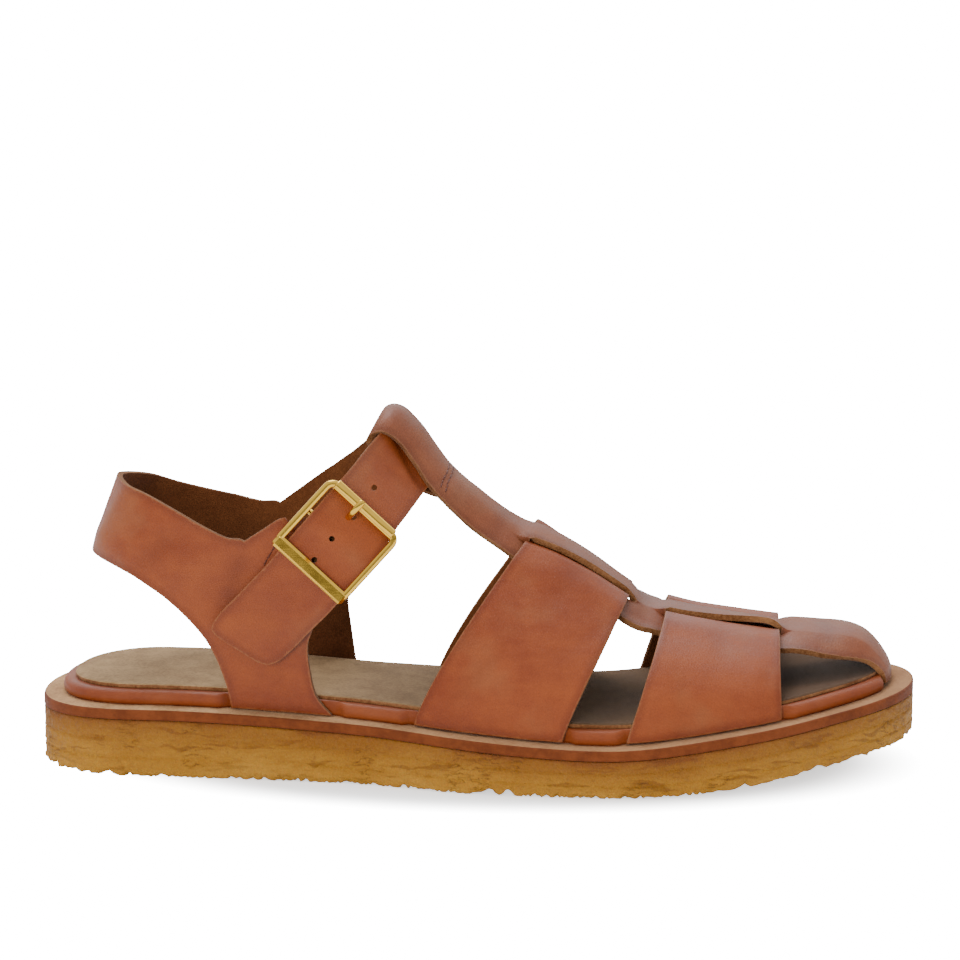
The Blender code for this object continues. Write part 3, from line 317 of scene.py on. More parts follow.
class Board:
    """Node tree with short calls for nodes and links."""

    def __init__(self, tree: bpy.types.NodeTree) -> None:
        """Start from an empty tree."""
        self.tree = tree
        tree.nodes.clear()

    def put(self, kind: str, inputs: dict[Any, Any] | None = None, **settings: Any) -> bpy.types.Node:
        """Add a node.

        Args:
            kind: Blender's name of the node type.
            inputs: Values or sockets by input name or number.
            settings: Attributes of the node.

        Returns:
            The new node.
        """
        node = self.tree.nodes.new(kind)
        for name, value in settings.items():
            setattr(node, name, value)
        for name, value in (inputs or {}).items():
            if isinstance(value, bpy.types.NodeSocket):
                self.tree.links.new(value, node.inputs[name])
            else:
                node.inputs[name].default_value = value
        return node

    def sum(self, operation: str, first: Any, second: Any, clamp: bool = False) -> bpy.types.NodeSocket:
        """Result of a Math node on two values or sockets."""
        return self.put("ShaderNodeMath", {0: first, 1: second}, operation=operation, use_clamp=clamp).outputs[0]

    def range(self, value: Any, low: float, high: float, start: float = 0.0, end: float = 1.0) -> bpy.types.NodeSocket:
        """Map a value from one range to another, softly and clamped."""
        node = self.put("ShaderNodeMapRange", {0: value, 1: low, 2: high, 3: start, 4: end}, interpolation_type="SMOOTHSTEP")
        return node.outputs[0]

    def blend(self, share: Any, first: Any, second: Any, kind: str = "MIX") -> bpy.types.NodeSocket:
        """Mix two colours."""
        node = self.put("ShaderNodeMix", data_type="RGBA", blend_type=kind)
        for socket, value in ((node.inputs[0], share), (node.inputs[6], first), (node.inputs[7], second)):
            if isinstance(value, bpy.types.NodeSocket):
                self.tree.links.new(value, socket)
            else:
                socket.default_value = value
        return node.outputs[2]

    def cloud(self, place: Any, scale: float, detail: float = 3.0, roughness: float = 0.5) -> bpy.types.NodeSocket:
        """Noise value at a place."""
        inputs = {"Vector": place, "Scale": scale, "Detail": detail, "Roughness": roughness}
        return self.put("ShaderNodeTexNoise", inputs, normalize=True).outputs[0]

    def stretched(self, place: Any, factors: tuple[float, float, float]) -> bpy.types.NodeSocket:
        """Place with its axes stretched."""
        return self.put("ShaderNodeMapping", {"Vector": place, "Scale": factors}).outputs[0]


def shared_group(name: str, inputs: Sequence[tuple[str, str, Any]], outputs: Sequence[tuple[str, str]],
                 draw: Callable[[Board, bpy.types.Node], dict[str, bpy.types.NodeSocket]]) -> bpy.types.NodeTree:
    """Make a shader node group.

    Args:
        name: Name of the group.
        inputs: Name, kind and first value of each input.
        outputs: Name and kind of each output.
        draw: Adds the nodes and returns a socket for each output.

    Returns:
        The node group.
    """
    tree = bpy.data.node_groups.new(name, "ShaderNodeTree")
    board = Board(tree)
    for label, kind, value in inputs:
        socket = tree.interface.new_socket(name=label, in_out="INPUT", socket_type=kind)
        if value is not None:
            socket.default_value = value
    for label, kind in outputs:
        tree.interface.new_socket(name=label, in_out="OUTPUT", socket_type=kind)
    source = board.put("NodeGroupInput")
    results = draw(board, source)
    board.put("NodeGroupOutput", results)
    return tree


def draw_grain(board: Board, source: bpy.types.Node) -> dict[str, bpy.types.NodeSocket]:
    """Fine cells, pores and soft waves of a smooth hide."""
    place = source.outputs["Place"]
    warp = board.put("ShaderNodeVectorMath", {0: board.put("ShaderNodeTexNoise", {"Vector": place, "Scale": 420.0}).outputs[1],
                                              3: 0.0011}, operation="SCALE").outputs[0]
    bent = board.put("ShaderNodeVectorMath", {0: place, 1: warp}, operation="ADD").outputs[0]
    cells = board.put("ShaderNodeTexVoronoi", {"Vector": bent, "Scale": source.outputs["Cells"]},
                      feature="DISTANCE_TO_EDGE").outputs[0]
    lines = board.range(cells, 0.0, 0.16)
    pores = board.cloud(place, 2600.0, 2.0)
    waves = board.cloud(place, 130.0, 3.0)
    fine = board.sum("MULTIPLY", pores, 0.25)
    height = board.sum("ADD", board.sum("MULTIPLY", lines, source.outputs["Line depth"]), fine)
    height = board.sum("ADD", height, board.sum("MULTIPLY", waves, source.outputs["Wave depth"]))
    return {"Height": height, "Lines": lines}


def draw_mottle(board: Board, source: bpy.types.Node) -> dict[str, bpy.types.NodeSocket]:
    """Cloudy tones of a hand finished surface, broad and fine."""
    place = source.outputs["Place"]
    broad = board.cloud(place, source.outputs["Broad"], 3.0, 0.55)
    fine = board.cloud(place, source.outputs["Fine"], 4.0, 0.6)
    brushed = board.cloud(board.stretched(place, (60.0, 220.0, 300.0)), 1.0, 3.0, 0.6)
    mixed = board.sum("ADD", board.sum("MULTIPLY", broad, 0.55), board.sum("MULTIPLY", fine, 0.28))
    mixed = board.sum("ADD", mixed, board.sum("MULTIPLY", brushed, 0.17))
    return {"Tone": board.range(mixed, 0.33, 0.67), "Spots": board.range(fine, 0.55, 0.8)}


def draw_wear(board: Board, source: bpy.types.Node) -> dict[str, bpy.types.NodeSocket]:
    """Dark burnish beside a cut edge, and a pale rub right at it."""
    distance = source.outputs["Distance"]
    place = source.outputs["Place"]
    torn = board.sum("MULTIPLY", board.sum("SUBTRACT", board.cloud(place, 700.0, 3.0), 0.5), 1.3)
    near = board.sum("ADD", distance, torn)
    burnish = board.range(near, 0.6, source.outputs["Reach"], 1.0, 0.0)
    rub = board.range(near, 0.05, 0.65, 1.0, 0.0)
    return {"Burnish": burnish, "Rub": rub}


def draw_fibre(board: Board, source: bpy.types.Node) -> dict[str, bpy.types.NodeSocket]:
    """Loose fibres and nap of a flesh side, a raw edge or suede."""
    place = source.outputs["Place"]
    nap = board.cloud(place, source.outputs["Size"], 5.0, 0.7)
    hair = board.cloud(board.stretched(place, (900.0, 2200.0, 3000.0)), 1.0, 2.0, 0.6)
    patches = board.cloud(place, 95.0, 4.0, 0.6)
    height = board.sum("ADD", board.sum("MULTIPLY", nap, 0.6), board.sum("MULTIPLY", hair, 0.4))
    tone = board.sum("ADD", board.sum("MULTIPLY", nap, 0.5), board.sum("MULTIPLY", patches, 0.5))
    return {"Height": height, "Tone": board.range(tone, 0.36, 0.64)}


class Groups:
    """The node groups, made once."""

    def __init__(self) -> None:
        """Make every group."""
        vector, value = "NodeSocketVector", "NodeSocketFloat"
        self.grain = shared_group("hide_grain", [("Place", vector, None), ("Cells", value, 900.0), ("Line depth", value, 0.5),
                                                 ("Wave depth", value, 1.0)], [("Height", value), ("Lines", value)], draw_grain)
        self.mottle = shared_group("hand_mottle", [("Place", vector, None), ("Broad", value, 26.0), ("Fine", value, 120.0)],
                                   [("Tone", value), ("Spots", value)], draw_mottle)
        self.wear = shared_group("edge_wear", [("Place", vector, None), ("Distance", value, 10.0), ("Reach", value, 2.5)],
                                 [("Burnish", value), ("Rub", value)], draw_wear)
        self.fibre = shared_group("loose_fibre", [("Place", vector, None), ("Size", value, 900.0)],
                                  [("Height", value), ("Tone", value)], draw_fibre)


Colour = tuple[float, float, float]


def shade(colour: Colour, factor: float = 1.0) -> tuple[float, float, float, float]:
    """Colour with a factor and full cover, for a shader socket."""
    return (colour[0] * factor, colour[1] * factor, colour[2] * factor, 1.0)


def start_material(name: str) -> tuple[bpy.types.Material, Board, bpy.types.Node, bpy.types.NodeSocket]:
    """Start a material with its shader.

    Args:
        name: Name of the material.

    Returns:
        The material, its node board, its shader node and the object's place socket.
    """
    made = bpy.data.materials.new(name)
    made.use_nodes = True
    board = Board(made.node_tree)
    out = board.put("ShaderNodeOutputMaterial")
    shader = board.put("ShaderNodeBsdfPrincipled")
    board.tree.links.new(shader.outputs[0], out.inputs[0])
    place = board.put("ShaderNodeTexCoord").outputs["Object"]
    return made, board, shader, place


def group_node(board: Board, tree: bpy.types.NodeTree, inputs: dict[str, Any]) -> bpy.types.Node:
    """Place a node group with its values."""
    node = board.tree.nodes.new("ShaderNodeGroup")
    node.node_tree = tree
    for name, value in inputs.items():
        if isinstance(value, bpy.types.NodeSocket):
            board.tree.links.new(value, node.inputs[name])
        else:
            node.inputs[name].default_value = value
    return node


def add_bump(board: Board, shader: bpy.types.Node, height: Any, strength: float, depth_mm: float) -> None:
    """Feed a height into the shader's normal."""
    node = board.put("ShaderNodeBump", {"Height": height, "Strength": strength, "Distance": depth_mm * MM})
    board.tree.links.new(node.outputs[0], shader.inputs["Normal"])


@dataclass(frozen=True)
class HideFinish:
    """Smooth hide with cloudy tones, rubbed edges, and pressed creases with painted shade in their troughs and a
    painted highlight on their ridges.
    """

    name: str
    deep: Colour
    middle: Colour
    light: Colour
    burnish: Colour
    rub: Colour
    rough: float = 0.5
    coat: float = 0.07

    def make(self, groups: Groups) -> bpy.types.Material:
        """Make the material."""
        made, board, shader, place = start_material(self.name)
        mottle = group_node(board, groups.mottle, {"Place": place, "Broad": 24.0, "Fine": 150.0})
        edge = board.put("ShaderNodeAttribute", attribute_name="edge_mm").outputs["Fac"]
        press = board.put("ShaderNodeAttribute", attribute_name="press_mm").outputs["Fac"]
        wear = group_node(board, groups.wear, {"Place": place, "Distance": edge, "Reach": 3.2})
        tone = board.blend(mottle.outputs["Tone"], shade(self.deep), shade(self.light))
        tone = board.blend(0.62, shade(self.middle), tone)
        patch = board.range(board.cloud(place, 42.0, 3.0, 0.55), 0.5, 0.72, 0.0, 0.42)
        tone = board.blend(patch, tone, shade(self.rub))
        tone = board.blend(board.sum("MULTIPLY", mottle.outputs["Spots"], 0.16), tone, shade(self.light))
        # painted shade: crease troughs take the burnish colour, darker the deeper they are pressed
        painted_crease_shade = board.range(press, -0.6, -0.02, 0.55, 0.0)
        tone = board.blend(painted_crease_shade, tone, shade(self.burnish))
        # painted highlight: raised crease ridges take the light colour
        ridge = board.range(press, 0.05, 0.7, 0.0, 0.35)
        tone = board.blend(ridge, tone, shade(self.light))
        tone = board.blend(board.sum("MULTIPLY", wear.outputs["Burnish"], 0.38), tone, shade(self.burnish))
        tone = board.blend(board.sum("MULTIPLY", wear.outputs["Rub"], 0.6), tone, shade(self.rub))
        board.tree.links.new(tone, shader.inputs["Base Color"])
        rough = board.range(mottle.outputs["Tone"], 0.0, 1.0, self.rough - 0.06, self.rough + 0.08)
        board.tree.links.new(rough, shader.inputs["Roughness"])
        shader.inputs["Coat Weight"].default_value = self.coat
        shader.inputs["Coat Roughness"].default_value = 0.35
        shader.inputs["Specular IOR Level"].default_value = 0.36
        grain = group_node(board, groups.grain, {"Place": place, "Cells": 1150.0, "Line depth": 0.4, "Wave depth": 2.0})
        add_bump(board, shader, grain.outputs["Height"], 0.5, 0.12)
        return made


@dataclass(frozen=True)
class NapFinish:
    """Fibrous surface: a flesh side, a raw cut edge or brushed suede."""

    name: str
    dark: Colour
    light: Colour
    size: float = 900.0
    rough: float = 0.92
    depth: float = 0.25
    # place along the shoe in metres where the surface starts and ends to grow darker toward the toe, and how dark it
    # gets; on the sock this darkening is painted shade for the shadow under the straps
    toe_darkening: tuple = (0.0, 0.0, 0.0)
    darkening_colour: Colour = (0.046, 0.021, 0.0105)

    def make(self, groups: Groups) -> bpy.types.Material:
        """Make the material."""
        made, board, shader, place = start_material(self.name)
        fibre = group_node(board, groups.fibre, {"Place": place, "Size": self.size})
        tone = board.blend(fibre.outputs["Tone"], shade(self.dark), shade(self.light))
        start, end, dark = self.toe_darkening
        if dark > 0.0:
            # darker toward the toe: on the sock, painted shade standing for the shadow under the straps
            ahead = board.put("ShaderNodeSeparateXYZ", {0: place}).outputs[0]
            ahead = board.sum("ADD", ahead, board.sum("MULTIPLY", board.cloud(place, 30.0, 3.0), 0.02))
            tone = board.blend(board.range(ahead, start, end, 0.0, dark), tone, shade(self.darkening_colour))
        board.tree.links.new(tone, shader.inputs["Base Color"])
        rough = board.range(fibre.outputs["Tone"], 0.0, 1.0, self.rough - 0.06, self.rough + 0.06)
        board.tree.links.new(rough, shader.inputs["Roughness"])
        shader.inputs["Sheen Weight"].default_value = 0.05
        shader.inputs["Sheen Roughness"].default_value = 0.5
        shader.inputs["Specular IOR Level"].default_value = 0.12
        add_bump(board, shader, fibre.outputs["Height"], 0.6, self.depth)
        return made


@dataclass(frozen=True)
class CrepeFinish:
    """Layered crepe: level streaks, pits and crumbs in golden tones."""

    name: str
    deep: Colour
    middle: Colour
    pale: Colour
    amber: Colour
    stained: Colour

    def make(self, groups: Groups) -> bpy.types.Material:
        """Make the material."""
        made, board, shader, place = start_material(self.name)
        warp = board.put("ShaderNodeTexNoise", {"Vector": place, "Scale": 130.0, "Detail": 3.0}).outputs[1]
        bent = board.put("ShaderNodeVectorMath", {0: warp, 1: place, 3: 1.0}, operation="ADD").outputs[0]
        bent = board.blend(0.004, place, bent)
        layers = board.cloud(board.stretched(bent, (70.0, 70.0, 300.0)), 1.0, 5.0, 0.68)
        broad = board.cloud(board.stretched(place, (22.0, 22.0, 60.0)), 1.0, 3.0, 0.5)
        crumbs = board.cloud(place, 520.0, 5.0, 0.7)
        thin = board.cloud(board.stretched(bent, (110.0, 110.0, 700.0)), 1.0, 3.0, 0.6)
        cracks = board.range(board.sum("ABSOLUTE", board.sum("SUBTRACT", thin, 0.5), 0.0), 0.0, 0.022, 1.0, 0.0)
        cracks = board.sum("MULTIPLY", cracks, board.range(board.cloud(place, 75.0, 2.0), 0.54, 0.64))
        tone = board.blend(board.range(layers, 0.34, 0.66, 0.3, 0.75), shade(self.deep), shade(self.pale))
        tone = board.blend(board.range(broad, 0.3, 0.7, 0.45, 0.8), tone, shade(self.middle))
        tone = board.blend(board.range(crumbs, 0.55, 0.72, 0.0, 0.35), tone, shade(self.pale))
        tone = board.blend(board.range(crumbs, 0.30, 0.44, 0.35, 0.0), tone, shade(self.deep, 0.7))
        tone = board.blend(board.sum("MULTIPLY", cracks, 0.6), tone, shade(self.deep, 0.6))
        dashes = board.range(board.cloud(board.stretched(bent, (62.0, 62.0, 420.0)), 1.0, 2.0, 0.6), 0.57, 0.66)
        tone = board.blend(board.sum("MULTIPLY", dashes, 0.5), tone, shade(self.deep, 0.72))
        level = board.put("ShaderNodeAttribute", attribute_name="level_share").outputs["Fac"]
        level = board.sum("ADD", level, board.sum("MULTIPLY", board.sum("SUBTRACT", broad, 0.5), 0.9))
        tone = board.blend(board.range(level, 0.30, 0.95, 0.0, 0.66), tone, shade(self.amber))
        tone = board.blend(board.range(level, 0.0, 0.28, 0.4, 0.0), tone, shade(self.pale))
        tone = board.blend(board.range(level, 0.90, 1.06, 0.0, 0.6), tone, shade(self.stained))
        board.tree.links.new(tone, shader.inputs["Base Color"])
        rough = board.range(crumbs, 0.3, 0.7, 0.5, 0.8)
        board.tree.links.new(rough, shader.inputs["Roughness"])
        shader.inputs["Specular IOR Level"].default_value = 0.3
        shader.inputs["Subsurface Weight"].default_value = 0.15
        shader.inputs["Subsurface Radius"].default_value = (0.004, 0.002, 0.0008)
        height = board.sum("ADD", board.sum("MULTIPLY", layers, 0.6), board.sum("MULTIPLY", crumbs, 1.7))
        height = board.sum("SUBTRACT", height, board.sum("MULTIPLY", cracks, 0.4))
        add_bump(board, shader, height, 0.8, 0.8)
        return made


@dataclass(frozen=True)
class MetalFinish:
    """Polished plated metal with a breath of haze and fine rubbing lines."""

    name: str
    colour: Colour
    rough: float = 0.11

    def make(self, groups: Groups) -> bpy.types.Material:
        """Make the material."""
        made, board, shader, place = start_material(self.name)
        haze = board.cloud(place, 260.0, 3.0)
        lines = board.cloud(board.stretched(place, (300.0, 300.0, 5200.0)), 1.0, 2.0)
        tone = board.blend(board.range(haze, 0.35, 0.7, 0.0, 0.5), shade(self.colour), shade(self.colour, 0.86))
        board.tree.links.new(tone, shader.inputs["Base Color"])
        both = board.sum("ADD", board.sum("MULTIPLY", haze, 0.6), board.sum("MULTIPLY", lines, 0.4))
        board.tree.links.new(board.range(both, 0.35, 0.65, self.rough - 0.03, self.rough + 0.08), shader.inputs["Roughness"])
        shader.inputs["Metallic"].default_value = 1.0
        add_bump(board, shader, lines, 0.08, 0.02)
        return made


@dataclass(frozen=True)
class ThreadFinish:
    """Waxed thread with a fine twist."""

    name: str
    dark: Colour
    light: Colour

    def make(self, groups: Groups) -> bpy.types.Material:
        """Make the material."""
        made, board, shader, place = start_material(self.name)
        twist = board.put("ShaderNodeTexWave", {"Vector": place, "Scale": 900.0, "Distortion": 2.0},
                          wave_type="BANDS", bands_direction="DIAGONAL").outputs[1]
        board.tree.links.new(board.blend(twist, shade(self.dark), shade(self.light)), shader.inputs["Base Color"])
        board.tree.links.new(board.range(twist, 0.0, 1.0, 0.5, 0.7), shader.inputs["Roughness"])
        add_bump(board, shader, twist, 0.5, 0.08)
        return made


@dataclass(frozen=True)
class StudioFinish:
    """Plain pale paper of the floor, glowing evenly for the camera like backlit paper, with a painted soft shadow round
    the sandal where the glow drops.
    """

    name: str
    colour: Colour
    glow: float = 20.0
    # glow inside the painted shadow round the sandal, and the place and scale of that oval shadow
    shade_glow: float = 1.1
    shade_place: tuple = (-0.04, 0.0, 0.0)
    shade_scale: tuple = (7.5, 14.6, 1.0)

    def make(self, groups: Groups) -> bpy.types.Material:
        """Make the material."""
        made, board, shader, place = start_material(self.name)
        tone = board.cloud(place, 3.0, 2.0)
        board.tree.links.new(board.blend(tone, shade(self.colour, 0.99), shade(self.colour)), shader.inputs["Base Color"])
        seen = board.put("ShaderNodeLightPath").outputs["Is Camera Ray"]
        moved = board.put("ShaderNodeMapping", {
            "Vector": place, "Location": self.shade_place, "Scale": self.shade_scale,
        }).outputs[0]
        # the glow drops inside an oval round the sandal: a painted soft contact shadow on the floor
        away = board.put("ShaderNodeVectorMath", {0: moved}, operation="LENGTH").outputs[1]
        low = self.shade_glow / self.glow
        glow_with_painted_shadow = board.blend(board.sum("POWER", board.range(away, 0.66, 1.06), 3.0), (low, low, low, 1.0), (1.0, 1.0, 1.0, 1.0))
        board.tree.links.new(board.blend(seen, (0.0, 0.0, 0.0, 1.0), glow_with_painted_shadow), shader.inputs["Emission Color"])
        shader.inputs["Emission Strength"].default_value = self.glow
        shader.inputs["Roughness"].default_value = 0.9
        shader.inputs["Specular IOR Level"].default_value = 0.1
        return made


class Finishes:
    """Every material of the sandal and the studio."""

    def __init__(self) -> None:
        """Make them from the shared groups."""
        groups = Groups()
        self.hide = HideFinish("cognac_hide", (0.142, 0.0215, 0.0028), (0.195, 0.0355, 0.0052), (0.262, 0.060, 0.0120),
                               (0.075, 0.010, 0.0015), (0.24, 0.080, 0.026), 0.5).make(groups)
        # paler, less saturated copy of the cognac hide for the centre strap: a painted sheen of the top light on the
        # top-facing strap
        self.painted_sheen = HideFinish("painted_sheen_hide", (0.125, 0.0275, 0.0085), (0.172, 0.044, 0.0150), (0.225, 0.070, 0.0260),
                               (0.062, 0.012, 0.0035), (0.20, 0.085, 0.038), 0.52).make(groups)
        self.wrap = HideFinish("wrap_hide", (0.122, 0.019, 0.0025), (0.175, 0.032, 0.0052), (0.24, 0.056, 0.0115),
                               (0.085, 0.011, 0.0015), (0.26, 0.07, 0.02), 0.5).make(groups)
        self.cut = NapFinish("cut_edge", (0.105, 0.038, 0.012), (0.23, 0.105, 0.043), 1400.0, 0.88, 0.2).make(groups)
        self.flesh = NapFinish("flesh_side", (0.085, 0.026, 0.008), (0.125, 0.042, 0.014), 800.0, 0.94, 0.3).make(groups)
        # the sock grows darker toward the toe: painted shade for the shadow under the straps
        self.sock = NapFinish("sock_suede", (0.215, 0.128, 0.058), (0.36, 0.235, 0.120), 1100.0, 0.93, 0.2,
                              (-0.100, 0.100, 0.90)).make(groups)
        self.rim = NapFinish("rim_face", (0.30, 0.155, 0.064), (0.50, 0.295, 0.140), 1200.0, 0.85, 0.2, (-0.07, 0.05, 0.5),
                             (0.21, 0.078, 0.030)).make(groups)
        self.stain = NapFinish("stained_edge", (0.105, 0.0245, 0.0058), (0.160, 0.041, 0.0112), 320.0, 0.72, 0.3).make(groups)
        self.crepe = CrepeFinish("layered_crepe", (0.17, 0.058, 0.0042), (0.335, 0.146, 0.0125), (0.49, 0.245, 0.033),
                                 (0.160, 0.050, 0.0060), (0.130, 0.032, 0.0065)).make(groups)
        self.gold = MetalFinish("polished_gold", (0.86, 0.530, 0.075)).make(groups)
        self.thread = ThreadFinish("brown_thread", (0.050, 0.011, 0.006), (0.13, 0.032, 0.016)).make(groups)
        self.paper = StudioFinish("studio_paper", (0.90, 0.90, 0.90)).make(groups)

    def leather_set(self) -> list[bpy.types.Material]:
        """Materials of a cut piece of leather in the order of Face."""
        return [self.hide, self.cut, self.flesh]


# ---- sheets of leather


@dataclass(frozen=True)
class Crease:
    """Soft trough or ridge pressed into a sheet, in the sheet's own millimetres.

    A minus depth is a trough and a plus depth a ridge. Turn is in degrees from the along direction.
    """

    along: float
    across: float
    turn: float
    length: float
    width: float
    depth: float

    def height(self, along: np.ndarray, across: np.ndarray) -> np.ndarray:
        """Height that the crease adds at each place of the sheet."""
        turn = math.radians(self.turn)
        ahead = (along - self.along) * math.cos(turn) + (across - self.across) * math.sin(turn)
        beside = (across - self.across) * math.cos(turn) - (along - self.along) * math.sin(turn)
        return self.depth * np.exp(-((beside / self.width) ** 2) - (2.0 * ahead / self.length) ** 4)


@dataclass
class Sheet:
    """Bent net of points with the lift and the press at each point."""

    points: np.ndarray
    lift: np.ndarray | None = None
    creases: Sequence[Crease] = ()
    skip: Callable[[int, int], bool] | None = None
    axis_y: float = 4.0
    axis_z: float = 10.0
    press: np.ndarray = field(init=False)
    along: np.ndarray = field(init=False)
    across: np.ndarray = field(init=False)

    def __post_init__(self) -> None:
        """Work out the sheet's own distances, then press and lift it."""
        net = self.points
        middle = net.shape[1] // 2
        ahead = np.linalg.norm(np.diff(net[:, middle], axis=0), axis=1)
        along = np.concatenate([[0.0], np.cumsum(ahead)])[:, None] * np.ones((1, net.shape[1]))
        beside = np.linalg.norm(np.diff(net, axis=1), axis=2)
        across = np.concatenate([np.zeros((net.shape[0], 1)), np.cumsum(beside, axis=1)], axis=1)
        across = across - across[:, middle:middle + 1]
        self.along, self.across = along, across
        self.press = np.zeros(net.shape[:2])
        for crease in self.creases:
            self.press = self.press + crease.height(along, across)
        lift = self.press if self.lift is None else self.lift + self.press
        self.points = net + self.normals(net) * lift[:, :, None]

    def normals(self, net: np.ndarray) -> np.ndarray:
        """Directions out of the sheet, away from the foot."""
        normal = np.cross(np.gradient(net, axis=0), np.gradient(net, axis=1))
        normal = normal / np.maximum(np.linalg.norm(normal, axis=2, keepdims=True), 1e-9)
        away = np.zeros_like(net)
        away[:, :, 1] = net[:, :, 1] - self.axis_y
        away[:, :, 2] = net[:, :, 2] - self.axis_z
        sign = np.sign(np.sum(normal * away))
        return normal * (sign if sign != 0.0 else 1.0)


def bend_grid(shape: bmesh.types.BMesh, sheet: Sheet) -> None:
    """Add a created grid to a shape and bend it to a sheet.

    Args:
        shape: The shape that takes the grid.
        sheet: The net of points in millimetres.
    """
    rows, columns = sheet.points.shape[:2]
    part = bmesh.new()
    bmesh.ops.create_grid(part, x_segments=rows - 1, y_segments=columns - 1, size=1.0)
    layer = part.verts.layers.float.new("press_mm")
    dropped = []
    if sheet.skip:
        for face in part.faces:
            centre = face.calc_center_median()
            row = int((centre.x + 1.0) * 0.5 * (rows - 1))
            column = int((centre.y + 1.0) * 0.5 * (columns - 1))
            if sheet.skip(row, column):
                dropped.append(face)
    for vertex in part.verts:
        row = int(round((vertex.co.x + 1.0) * 0.5 * (rows - 1)))
        column = int(round((vertex.co.y + 1.0) * 0.5 * (columns - 1)))
        place = sheet.points[row, column]
        vertex.co = Vector((place[0], place[1] + SIDE_SHIFT, place[2])) * MM
        vertex[layer] = float(sheet.press[row, column])
    if dropped:
        bmesh.ops.delete(part, geom=dropped, context="FACES")
    mesh = bpy.data.meshes.new("grid")
    part.to_mesh(mesh)
    part.free()
    shape.from_mesh(mesh)
    bpy.data.meshes.remove(mesh)


def mark_edges(shape: bmesh.types.BMesh) -> None:
    """Store each point's distance from the nearest cut edge."""
    layer = shape.verts.layers.float.get("edge_mm") or shape.verts.layers.float.new("edge_mm")
    rim = [vertex for vertex in shape.verts if vertex.is_boundary]
    tree = kdtree.KDTree(max(len(rim), 1))
    for number, vertex in enumerate(rim):
        tree.insert(vertex.co, number)
    tree.balance()
    for vertex in shape.verts:
        vertex[layer] = min(tree.find(vertex.co)[2] / MM, EDGE_REACH) if rim else EDGE_REACH


def make_object(name: str, shape: bmesh.types.BMesh, finishes: Sequence[bpy.types.Material],
                replaced: Sequence[str] = ()) -> bpy.types.Object:
    """Turn a worked shape into a piece that rides on the frame.

    Args:
        name: Name of the piece.
        shape: The worked shape, which is freed.
        finishes: Materials of the piece.
        replaced: Solids of the frame that the piece stands for.

    Returns:
        The new object.
    """
    mesh = bpy.data.meshes.new(name)
    shape.to_mesh(mesh)
    shape.free()
    mesh.polygons.foreach_set("use_smooth", [True] * len(mesh.polygons))
    made = bpy.data.objects.new(name, mesh)
    bpy.context.scene.collection.objects.link(made)
    for finish in finishes:
        mesh.materials.append(finish)
    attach(made, "root")
    if replaced:
        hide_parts(*replaced)
    LOG.info("%s: %d faces", name, len(mesh.polygons))
    return made


def face_outward(shape: bmesh.types.BMesh, centre: Callable[[Vector], Vector]) -> None:
    """Turn an open sheet so that its grain faces away from a centre."""
    bmesh.ops.recalc_face_normals(shape, faces=shape.faces[:])
    total = 0.0
    for face in shape.faces:
        place = face.calc_center_median()
        total += face.calc_area() * face.normal.dot(centre(place))
    if total < 0.0:
        bmesh.ops.reverse_faces(shape, faces=shape.faces[:])


def cut_leather(name: str, sheets: Sequence[Sheet], finishes: Finishes, outward: Callable[[Vector], Vector],
                thickness: float = 1.8, materials: list[bpy.types.Material] | None = None) -> bpy.types.Object:
    """Make a piece of leather with its grain, its flesh side and its cut edges.

    Args:
        name: Name of the piece.
        sheets: Bent nets that join along shared edges.
        finishes: All materials.
        outward: Direction out of the piece at a place.
        thickness: Thickness of the leather.
        materials: Other materials in the order of Face.

    Returns:
        The new piece.
    """
    shape = bmesh.new()
    for sheet in sheets:
        bend_grid(shape, sheet)
    if len(sheets) > 1:
        bmesh.ops.remove_doubles(shape, verts=shape.verts[:], dist=SEAM_REACH)
    face_outward(shape, outward)
    mark_edges(shape)
    made = make_object(name, shape, materials or finishes.leather_set(), ["upper"])
    wall = made.modifiers.new("Wall", "SOLIDIFY")
    wall.thickness = thickness * MM
    wall.offset = 0.0
    wall.use_even_offset = False
    wall.use_quality_normals = True
    wall.material_offset = Face.FLESH.value
    wall.material_offset_rim = Face.CUT.value
    soft = made.modifiers.new("Soft edges", "BEVEL")
    soft.width = 0.28 * MM
    soft.segments = 2
    soft.limit_method = "ANGLE"
    soft.angle_limit = math.radians(50.0)
    soft.material = -1
    return made


def from_foot(place: Vector) -> Vector:
    """Direction from the middle of the foot to a place."""
    return Vector((0.0, place.y - 0.002, place.z - 0.012))


def from_heel(place: Vector) -> Vector:
    """Direction from the middle of the heel to a place."""
    return Vector((min(place.x + 0.070, 0.0), place.y + 0.002, 0.0))


